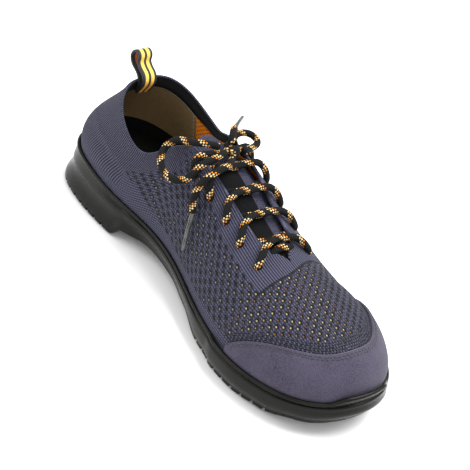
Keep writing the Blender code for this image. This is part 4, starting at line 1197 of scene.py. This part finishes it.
def build_upper():
    """The knitted wall: outer face, rolled edge and lining in one closed shell, with its lace holes."""
    stations = even_stations(UPPER_COLUMNS, always=(THROAT_BASE, TURN - THROAT_BASE))
    near = np.minimum(stations, TURN - stations)
    across = stations[:, None]
    heights = np.linspace(0, 1, UPPER_ROWS + 1)[None]
    outer = LAST.skin(across, heights, crease_lift(LAST.wall(across, heights)))
    foot = LAST.feather(stations)
    out = LAST.outward(stations)
    outer[:, 0] = foot
    drop = np.array([0, 0, SEAT_DEPTH])
    # the rolled edge, which closes to nothing at the throat's base
    is_open = 1 - eased(np.array([THROAT_BASE - 0.35, THROAT_BASE]), np.array([0.0, 1.0]), near)
    collar = collar_share(stations)
    half = (WALL / 2 * is_open)[:, None]
    plump = (1.1 + 0.1 * collar)[:, None]
    edge = outer[:, -1]
    normal = LAST.face_out(stations, 1.0)
    upward = edge - outer[:, -4]
    upward /= np.linalg.norm(upward, axis=1, keepdims=True)
    roll = []
    for turn in np.linspace(0, math.pi, ROLL_STEPS + 1)[1:]:
        roll.append(edge - normal * half * (1 - math.cos(turn)) + upward * half * plump * math.sin(turn))
    roll = np.stack(roll, 1)
    # the lining, thicker where the collar is padded
    inner_heights = np.linspace(1, 0, LINING_ROWS + 1)[None]
    below = 1 - inner_heights
    pad = COLLAR_PAD * collar[:, None] * np.sin(np.clip(below / 0.22, 0, 1) * math.pi) ** 2
    lining = LAST.skin(across, inner_heights, -(WALL + pad))
    ridge = near >= THROAT_BASE
    shared = (lining[:, 0] + lining[::-1, 0]) / 2
    lining[ridge, 0] = shared[ridge]
    lining[~ridge, 0] = roll[~ridge, -1]
    lining[:, -1] = foot - out * WALL
    grid = np.concatenate(
        [(foot - drop)[:, None], outer, roll, lining, (foot - out * WALL - drop)[:, None]], 1
    )
    # distances for the knit's zones
    lengths = arc_lengths(outer)
    flat_lengths = arc_lengths(outer, (0, 1, 1))
    side = np.where(stations <= TOE, -1.0, 1.0)[:, None]
    edge_y = edge[:, 1][:, None]
    transverse = edge_y + side * (flat_lengths[:, -1:] - flat_lengths)

    def whole(values, after_edge):
        """Values of the outer rows, repeated for the rows below them and given for those past the edge."""
        tail = grid.shape[1] - 1 - values.shape[1]
        return np.concatenate([values[:, :1], values, np.broadcast_to(after_edge, (len(grid), tail))], 1)

    lining_lengths = arc_lengths(lining)
    tail_lengths = np.concatenate(
        [np.zeros((len(grid), ROLL_STEPS)), lining_lengths, lining_lengths[:, -1:] + SEAT_DEPTH], 1
    )
    from_edge = whole(lengths[:, -1:] - lengths, tail_lengths)
    u = grid[..., 0] - HEEL_CENTRE
    v = whole(transverse, edge_y + side * tail_lengths)
    depth = np.interp(near, *COLLAR_DEPTHS)[:, None]
    in_collar = whole(1 / (1 + np.exp((lengths[:, -1:] - lengths - depth) / 0.0006)), np.ones((1, 1)))
    in_collar = in_collar * collar[:, None]
    vamp = np.interp(grid[..., 0] - 0.35 * np.abs(v), [0.186, 0.194], [0.0, 1.0])
    from_back = np.interp(near, np.arange(TURN + 1), LAST.knots)[:, None]
    behind = np.exp(-((from_back / HEEL_TURN) ** 2))
    along = HEEL_WALES[0] + behind * (HEEL_WALES_BACK[0] - HEEL_WALES[0])
    rise = HEEL_WALES[1] + behind * (HEEL_WALES_BACK[1] - HEEL_WALES[1])
    marks = {
        "heel_wales": whole(along * from_back + rise * lengths, np.zeros((1, 1))),
        "from_edge": from_edge,
        "from_foot": whole(lengths, lengths[:, -1:]),
        "from_cap": past_cap_edge(grid),
        "along_edge": np.broadcast_to(reach_along(edge)[:, None], grid.shape[:2]),
        "collar": in_collar,
        "vamp": vamp,
    }
    mesh = grid_mesh(
        "knit_upper", grid, np.stack([u, v], -1), marks, closed_rows=True,
        inner_from=1 + UPPER_ROWS + ROLL_STEPS * 3 // 4,
    )
    upper = add_piece("knit_upper", mesh, [knit_material(), lining_material()])
    shape = bmesh.new()
    for row in EYELET_ROWS:
        for inner in (True, False):
            centre, way = eyelet(row, inner)
            hole = bmesh.ops.create_cone(
                shape, cap_ends=True, segments=24, radius1=EYELET / 2, radius2=EYELET / 2, depth=6 * WALL
            )
            turn = Vector(way).to_track_quat("Z", "Y").to_matrix().to_4x4()
            bmesh.ops.transform(
                shape, matrix=Matrix.Translation(Vector(centre - ORIGIN)) @ turn, verts=hole["verts"]
            )
    cut_with(upper, shape)
    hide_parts("upper")


build_upper()


# Toe cap
# A split-suede overlay on the toe, cut in a rounded V at the back. Its raw edge is held by two rows of
# stitching, and its lower edge goes down behind the sole's lip.

CAP_COLUMNS = 300
CAP_ROWS = 44
STITCH_INSETS = (0.0022, 0.0038)
STITCH_LENGTH = 0.0021
STITCH_PITCH = 0.0030
THREAD = 0.0007


def height_past_edge(station, ahead):
    """How far up the wall a point lies that is ahead metres in front of the cap's back edge."""
    heights = np.linspace(0.0, 0.98, 197)
    past = past_cap_edge(LAST.wall(np.full(heights.shape, station), heights)) - ahead
    behind = np.nonzero(past < 0)[0]
    if len(behind) == 0:
        return float(heights[-1])
    k = max(int(behind[0]), 1)
    share = past[k - 1] / max(past[k - 1] - past[k], 1e-9)
    return float(max(heights[k - 1] + share * (heights[k] - heights[k - 1]), 0.02))


def suede_material():
    """Split suede: a short nap that lies in soft clouds, paler along the raw edge."""
    suede = Finish("slate_suede", 0.95, Specular_IOR_Level=0.2, Sheen_Weight=0.10, Sheen_Roughness=0.5)
    fine = use_group(GRAIN, suede.place(), Scale=1700.0, Spots=140.0)
    clouds = use_group(GRAIN, suede.place(), Scale=420.0, Spots=45.0)
    colour = mixed(fine["Shade"], rgb(0.020, 0.0175, 0.030), rgb(0.066, 0.058, 0.091))
    colour = mixed(clouds["Spot"] * 0.3 + fine["Spot"] * 0.2, colour, rgb(0.072, 0.064, 0.098))
    raw = step_up(suede.mark("from_cap"), 0.0010, 0.0002)
    colour = mixed(raw * 0.7, colour, rgb(0.17, 0.155, 0.205))
    return suede.done(colour, clouds["Height"] * 0.6 + fine["Height"], 0.00028)


def thread_material():
    """Sewing thread, nearly black, with a faint sheen."""
    thread = Finish("dark_thread", 0.7, Sheen_Weight=0.2)
    grain = use_group(GRAIN, thread.place(), Scale=2500.0, Spots=300.0)
    colour = mixed(grain["Shade"], rgb(0.005, 0.005, 0.009), rgb(0.017, 0.016, 0.026))
    return thread.done(colour, grain["Height"], 0.0001)


def join_tubes(name, tubes, sides):
    """One mesh from many short tubes, each given as points and radii."""
    points, faces = [], []
    for line, radii in tubes:
        rings = tube_rings(line, radii, sides)
        faces += tube_faces(len(rings), sides, len(points))
        points += rings.reshape(-1, 3).tolist()
    mesh = bpy.data.meshes.new(name)
    mesh.from_pydata(points, [], faces)
    mesh.shade_smooth()
    return mesh


def stitches_along(line, length, pitch, thread):
    """Short thread tubes laid end to end along a line of points."""
    line = np.array(line)
    reach = reach_along(line)
    swell = np.array([0.35, 0.85, 1.0, 0.85, 0.35]) * thread / 2
    tubes = []
    for k in range(int(reach[-1] / pitch)):
        at = k * pitch + np.linspace(0, length, len(swell))
        tubes.append((np.stack([np.interp(at, reach, line[:, i]) for i in range(3)], 1), swell))
    return tubes


THREAD_DARK = thread_material()


def build_toe_cap():
    """The suede overlay on the upper's own face, with a rounded raw edge, and its two rows of stitches."""
    tuck = SEAT_DEPTH - CLEARANCE
    stations = even_stations(CAP_COLUMNS, CAP_START, CAP_STOP)
    low, high = CLEARANCE, CLEARANCE + CAP_THICKNESS
    grid = []
    for station in stations:
        reach = height_past_edge(station, 0.0)
        heights = np.linspace(0, 1, CAP_ROWS + 1) * reach
        foot = LAST.feather(station)
        out = LAST.outward(station)
        down = np.array([0, 0, tuck])
        inside = LAST.skin(station, heights, low)
        outside = LAST.skin(station, heights, high)
        inside[0], outside[0] = foot + out * low, foot + out * high
        fall = np.clip((past_cap_edge(outside) - 0.0004) / 0.0022, 0, 1)
        outside -= LAST.face_out(station, heights) * (0.0006 * (1 - fall**0.5))[:, None]
        grid.append(np.vstack([(outside[0] - down)[None], outside, inside[::-1], (inside[0] - down)[None]]))
    grid = np.array(grid)
    mesh = grid_mesh("suede_cap", grid, marks={"from_cap": past_cap_edge(grid)}, closed_rows=True)
    face_outward(mesh)
    cap = add_piece("suede_cap", mesh, [suede_material()])
    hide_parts("toe_cap")
    tubes = []
    for inset in STITCH_INSETS:
        line = []
        for station in even_stations(240, CAP_START + 0.15, CAP_STOP - 0.15):
            height = height_past_edge(station, inset)
            line.append(LAST.skin(station, height, high + THREAD * 0.15) - ORIGIN)
        tubes += stitches_along(line, STITCH_LENGTH, STITCH_PITCH, THREAD)
    add_piece("cap_stitching", join_tubes("cap_stitching", tubes, 6), [THREAD_DARK])


build_toe_cap()


# Tongue
# A strip of the same knit, padded, that lies under the throat's edges and stands up in a round lip at the
# ankle. Below the lip its face is black down the middle.

TONGUE_THICKNESS = 0.0032
TONGUE_CELLS = 14
TONGUE_BLACK_HALF = 0.0075
TONGUE_BLACK_OFFSET = 0.0030
TONGUE_UNDER = 0.24
TONGUE_CROWN = 0.32

TongueRow = namedtuple("TongueRow", "station crown back spread")
TONGUE_ROWS = (
    # crown lifts the middle and back draws a section to the heel, in metres; spread is its width share
    TongueRow(8.6, 0.0000, 0.000, 0.62),
    TongueRow(8.0, 0.0000, 0.000, 0.70),
    TongueRow(7.4, 0.0005, 0.000, 0.78),
    TongueRow(6.8, 0.0005, 0.000, 0.86),
    TongueRow(6.2, 0.0010, 0.000, 0.92),
    TongueRow(5.6, 0.0015, 0.000, 1.00),
    TongueRow(5.0, 0.0020, 0.000, 1.00),
    TongueRow(4.4, 0.0032, 0.000, 1.00),
    TongueRow(4.1, 0.0050, 0.002, 1.00),
    TongueRow(4.1, 0.0070, 0.005, 0.86),
    TongueRow(4.1, 0.0065, 0.008, 0.60),
)


def tongue_section(row):
    """Points across the tongue's outer face, from under one throat edge to under the other."""
    depth = WALL + 2 * CLEARANCE
    inner_low, inner_high, outer_high, outer_low = (
        LAST.skin(station, height, -depth) for station, height in (
            (row.station, 1 - TONGUE_UNDER), (row.station, 1.0),
            (TURN - row.station, 1.0), (TURN - row.station, 1 - TONGUE_UNDER),
        )
    )
    middle = (inner_low + outer_low) / 2
    section = []
    for f in np.linspace(0, 1, TONGUE_CELLS + 1):
        s = 1 - f
        point = (
            s**3 * inner_low + 3 * s * s * f * inner_high
            + 3 * s * f * f * outer_high + f**3 * outer_low
        )
        point = middle + (point - middle) * np.array([1, row.spread, 1])
        lift = row.crown * max(0.0, 1 - ((f - 0.5) / TONGUE_CROWN) ** 2)
        section.append(point + np.array([-row.back, 0, lift]))
    return section


def tongue_material():
    """Slate knit at the lip and along the sides, black down the middle ahead of the lip."""
    tongue = Finish("tongue_knit", 0.95, Specular_IOR_Level=0.2)
    x, y, _ = parts(tongue.place())
    stitches = use_group(STITCHES, vector_of(y, x), Width=0.0015, Rise=0.0015)
    # darker between the stitches and lighter on them: painted shade and light, with random specks
    colour = mixed(stitches["Shade"], SLATE_DARK, SLATE_LIGHT)
    black = mixed(stitches["Shade"], rgb(0.0012, 0.0012, 0.0016), rgb(0.0035, 0.0035, 0.0045))
    away = abs(y + TONGUE_BLACK_OFFSET)
    # the black stripe down the middle, ahead of the lip
    mesh = step_up(x, 0.082, 0.088) * step_up(away, TONGUE_BLACK_HALF + 0.0004, TONGUE_BLACK_HALF - 0.0004)
    return tongue.done(mixed(mesh, colour, black), stitches["Height"], 0.0003)


def build_tongue():
    """The tongue's face, given its padding and smoothed."""
    grid = [tongue_section(row) for row in TONGUE_ROWS]
    mesh = grid_mesh("padded_tongue", grid[::-1])
    tongue = add_piece("padded_tongue", mesh, [tongue_material()])
    shell = tongue.modifiers.new("Padding", "SOLIDIFY")
    shell.thickness = TONGUE_THICKNESS
    shell.offset = -1
    soft = tongue.modifiers.new("Soft", "SUBSURF")
    soft.levels = 2
    soft.render_levels = 2
    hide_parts("tongue")


build_tongue()


# Insole
# A loose black footbed of foam under cloth, cut to the shape of the seat inside the upper.

INSOLE_THICKNESS = 0.0045
INSOLE_GAP = 0.0012
INSOLE_RIM = 0.008
# The rim's section: how far in, in INSOLE_RIM, and how high, in INSOLE_THICKNESS
INSOLE_EDGE = ((0.0, 0.0), (0.0, 1.0), (0.12, 0.98), (0.4, 0.86), (0.7, 0.76), (1.0, 0.73))


def footbed_material():
    """Black cloth, matt, with a fine grain."""
    cloth = Finish("footbed_cloth", 0.95, Specular_IOR_Level=0.15)
    grain = use_group(GRAIN, cloth.place(), Scale=1400.0, Spots=60.0)
    colour = mixed(grain["Shade"], rgb(0.002, 0.0024, 0.0016), rgb(0.0045, 0.005, 0.0038))
    return cloth.done(colour, grain["Height"], 0.0002)


def build_insole():
    """Sections from heel to toe, hollowed a little between their rims."""
    inset = WALL + INSOLE_GAP
    sections = []
    for station in even_stations(160, 0.0, TOE):
        sides = []
        for place in (station, TURN - station):
            foot = LAST.feather(place) * np.array([1, 1, 0]) - LAST.outward(place) * inset
            low = seat_height(place) + CLEARANCE
            inward = -LAST.outward(place)
            side = [foot + inward * INSOLE_RIM + np.array([0, 0, low])]
            for away, up in INSOLE_EDGE:
                side.append(foot + inward * INSOLE_RIM * away + np.array([0, 0, low + INSOLE_THICKNESS * up]))
            sides.append(side)
        inner, outer = sides
        if station in (0, TOE):
            outer = inner
        sections.append(inner + outer[::-1])
    mesh = grid_mesh("footbed", sections, closed_rows=True)
    face_outward(mesh)
    footbed = add_piece("footbed", mesh, [footbed_material()])
    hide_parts("insole")


build_insole()


# Pull loop
# A folded ribbon sewn inside the collar's back edge: black, with two yellow stripes on its outer face and
# orange on its inner one, woven on a narrow loom.

LOOP_WIDTH = 0.011
LOOP_THICKNESS = 0.0016
LOOP_RISE = 0.018
LOOP_STEP = 0.0005

LoopFold = namedtuple("LoopFold", "forward rise")
LOOP_FOLDS = (
    # from the rear foot over the top to the front foot, measured from the collar's edge in LOOP_RISE
    LoopFold(0.12, 0.10), LoopFold(-0.08, 0.28), LoopFold(-0.39, 0.43), LoopFold(-0.54, 0.65),
    LoopFold(-0.48, 0.89), LoopFold(-0.31, 1.00), LoopFold(-0.13, 0.89), LoopFold(-0.12, 0.67),
    LoopFold(0.06, 0.47), LoopFold(0.33, 0.32), LoopFold(0.42, 0.10),
)


def ribbon_material(name, inside):
    """Woven ribbon: cross ribs, and lengthwise stripes told by the place across its width."""
    ribbon = Finish(name, 0.6)
    along, across, _ = parts(ribbon.lengths())
    weft = rib_height(along, 0.0007)
    weave = weft * rib_height(across, 0.0006)
    away = abs(across - LOOP_WIDTH / 2)
    if inside:
        stripe = step_up(away, 0.0030, 0.0026)
        bright, shaded_thread = rgb(0.62, 0.13, 0.02), rgb(0.30, 0.05, 0.01)
    else:
        stripe = step_up(away, 0.0037, 0.0034) * step_up(away, 0.0008, 0.0011)
        bright, shaded_thread = rgb(0.90, 0.70, 0.13), rgb(0.78, 0.46, 0.05)
    # the ground and the stripes' threads are darker in the weave's hollows: painted shade
    ground = mixed(weave, rgb(0.003, 0.003, 0.004), rgb(0.016, 0.017, 0.017))
    low = step_up(parts(ribbon.place())[2], COLLAR_BACK - 0.003, COLLAR_BACK - 0.008)
    thread = mixed(low * 0.6, mixed(weft, shaded_thread, bright), rgb(0.70, 0.20, 0.02))
    return ribbon.done(mixed(stripe, ground, thread), weave, 0.0002)


def build_pull_loop():
    """The ribbon as a flat band of even thickness along its folds."""
    edge = LAST.top(0.0)
    folds = [edge + LOOP_RISE * np.array([row.forward, 0, row.rise]) for row in LOOP_FOLDS]
    rear = WALL + CLEARANCE + LOOP_WIDTH / 7 + LOOP_THICKNESS / 2
    front = rear + LOOP_THICKNESS + CLEARANCE
    tails = [[LAST.skin(0.0, height, -inset) for height in (0.90, 0.96)] for inset in (rear, front)]
    points = smooth_route(tails[0] + folds + tails[1][::-1], LOOP_STEP)
    ahead = np.gradient(points, axis=0)
    ahead /= np.linalg.norm(ahead, axis=1, keepdims=True)
    across = np.array([0.0, 1.0, 0.0])
    out = np.cross(ahead, across)
    half = LOOP_THICKNESS / 2
    section = [(y, half) for y in np.linspace(-1, 1, 23)] + [(1.02, 0.0)]
    section += [(y, -half) for y in np.linspace(1, -1, 23)] + [(-1.02, 0.0)]
    reach = reach_along(points)
    grid = np.array([
        [point + across * y * LOOP_WIDTH / 2 + way * rise for y, rise in section]
        for point, way in zip(points, out)
    ])
    width = np.array([(y + 1) * LOOP_WIDTH / 2 for y, _ in section])
    places = np.stack(np.broadcast_arrays(reach[:, None], width[None]), -1)
    mesh = grid_mesh("pull_ribbon", grid, places, closed_rows=True, inner_from=23)
    face_outward(mesh)
    finishes = [ribbon_material("ribbon_face", False), ribbon_material("ribbon_back", True)]
    ribbon = add_piece("pull_ribbon", mesh, finishes)
    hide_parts("pull_loop")


build_pull_loop()


# Laced throat
# The lace comes up through each hole, goes over the throat's edge, crosses the tongue, and dives under
# the other edge to the next hole; a straight bar at the toe end joins the first pair.

def beneath(row, inner):
    """A point of the lace under a hole, inside the upper."""
    centre, out = eyelet(row, inner)
    return centre - out * (WALL + LACE / 2) - ORIGIN


def in_hole(row, inner, lift=0.0):
    """A point of the lace in a hole, or lift above it."""
    centre, out = eyelet(row, inner)
    return centre + out * lift - ORIGIN


def above_edge(station, inner, lift=LACE / 2 + 4 * CLEARANCE):
    """A point where a lace bends over the throat's edge."""
    place = station if inner else TURN - station
    return LAST.skin(place, 1.0, lift) - ORIGIN


def build_lacing():
    """Nine crossings and runs to the knot, joined under the holes, and the bar at the throat's foot."""
    beside = np.array([LACE / 6, 0, 0])
    tubes = []
    for row, after in zip(EYELET_ROWS, EYELET_ROWS[1:]):
        ahead = row.station * 0.7 + after.station * 0.3
        behind = row.station * 0.3 + after.station * 0.7
        for inner in (True, False):
            start = above_edge(ahead, inner)
            dive = above_edge(behind, not inner, -(WALL + LACE / 2))
            sag = LACE / 8 if inner else 3 * LACE / 8
            middle = (start + above_edge(behind, not inner)) / 2 - np.array([0, 0, sag])
            over_hole = in_hole(row, inner, LACE * 0.45) * 0.75 + start * 0.25
            tubes.append([
                beneath(row, inner), in_hole(row, inner, 0.0), over_hole + beside * 0.5, start, middle,
                dive * 0.75 + middle * 0.25, dive, beneath(after, not inner),
            ])
    last = EYELET_ROWS[-1]
    centre = np.array(KNOT_CENTRE)
    for inner in (True, False):
        edge = above_edge(last.station - 0.05, inner)
        over_hole = in_hole(last, inner, LACE * 0.45) * 0.75 + edge * 0.25
        to_knot = edge * 0.35 + centre * 0.65
        tubes.append([beneath(last, inner), in_hole(last, inner), over_hole, edge, to_knot, centre])
    for i, route in enumerate(tubes):
        piece, _ = add_lace(f"lace_run_{i + 1}", route)
    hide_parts("lace_crossings")
    row = EYELET_ROWS[0]
    ends = [LAST.top(row.station), LAST.top(TURN - row.station)]
    middle = (ends[0] + ends[1]) / 2
    places = ((ends[0], 1.3), (ends[0], 0.6), (ends[1], 0.6), (ends[1], 1.3))
    bar = [middle + (end - middle) * share - ORIGIN for end, share in places]
    for point in (bar[0], bar[-1]):
        point[2] -= WALL + LACE / 2
    piece, _ = add_lace("lace_bar", bar)
    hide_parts("lace_base_bar")


build_lacing()


# Floor and light
# A pale studio floor that runs out of sight, a wide soft light above, and a white surround.

Light = namedtuple("Light", "name place size power")
LIGHTS = (
    # place and size in metres, power in watts
    Light("key", (0.35, 0.62, 1.45), 1.3, 44.0),
    Light("fill", (-0.75, -0.85, 1.10), 1.2, 13.0),
    Light("front", (1.2, -0.9, 0.8), 1.0, 6.0),
)
FLOOR_HALF = 6.0
SURROUND = 0.75


def build_studio():
    """The floor, the lamps, each aimed at the shoe, and the even surround."""
    floor = bpy.data.objects.new("studio_floor", bpy.data.meshes.new("studio_floor"))
    shape = bmesh.new()
    bmesh.ops.create_grid(shape, x_segments=1, y_segments=1, size=FLOOR_HALF)
    shape.to_mesh(floor.data)
    shape.free()
    paper = Finish("studio_paper", 0.9)
    grain = use_group(GRAIN, paper.place(), Scale=300.0, Spots=3.0)
    tone = mixed(grain["Spot"], rgb(0.90, 0.90, 0.90), rgb(0.92, 0.92, 0.92))
    feed(paper.shader, {"Base_Color": tone})
    floor.data.materials.append(paper.material)
    bpy.context.scene.collection.objects.link(floor)
    for light in LIGHTS:
        lamp = bpy.data.objects.new(light.name, bpy.data.lights.new(light.name, "AREA"))
        lamp.data.size = light.size
        lamp.data.energy = light.power
        lamp.location = light.place
        aim = CAMERA_TARGET - Vector(light.place)
        lamp.rotation_euler = aim.to_track_quat("-Z", "Y").to_euler()
        bpy.context.scene.collection.objects.link(lamp)
    world = bpy.data.worlds.new("studio")
    world.use_nodes = True
    feed(world.node_tree.nodes["Background"], {"Color": rgb(1.0, 1.0, 1.0), "Strength": SURROUND})
    bpy.context.scene.world = world
    bpy.context.scene.view_settings.view_transform = "Standard"


build_studio()
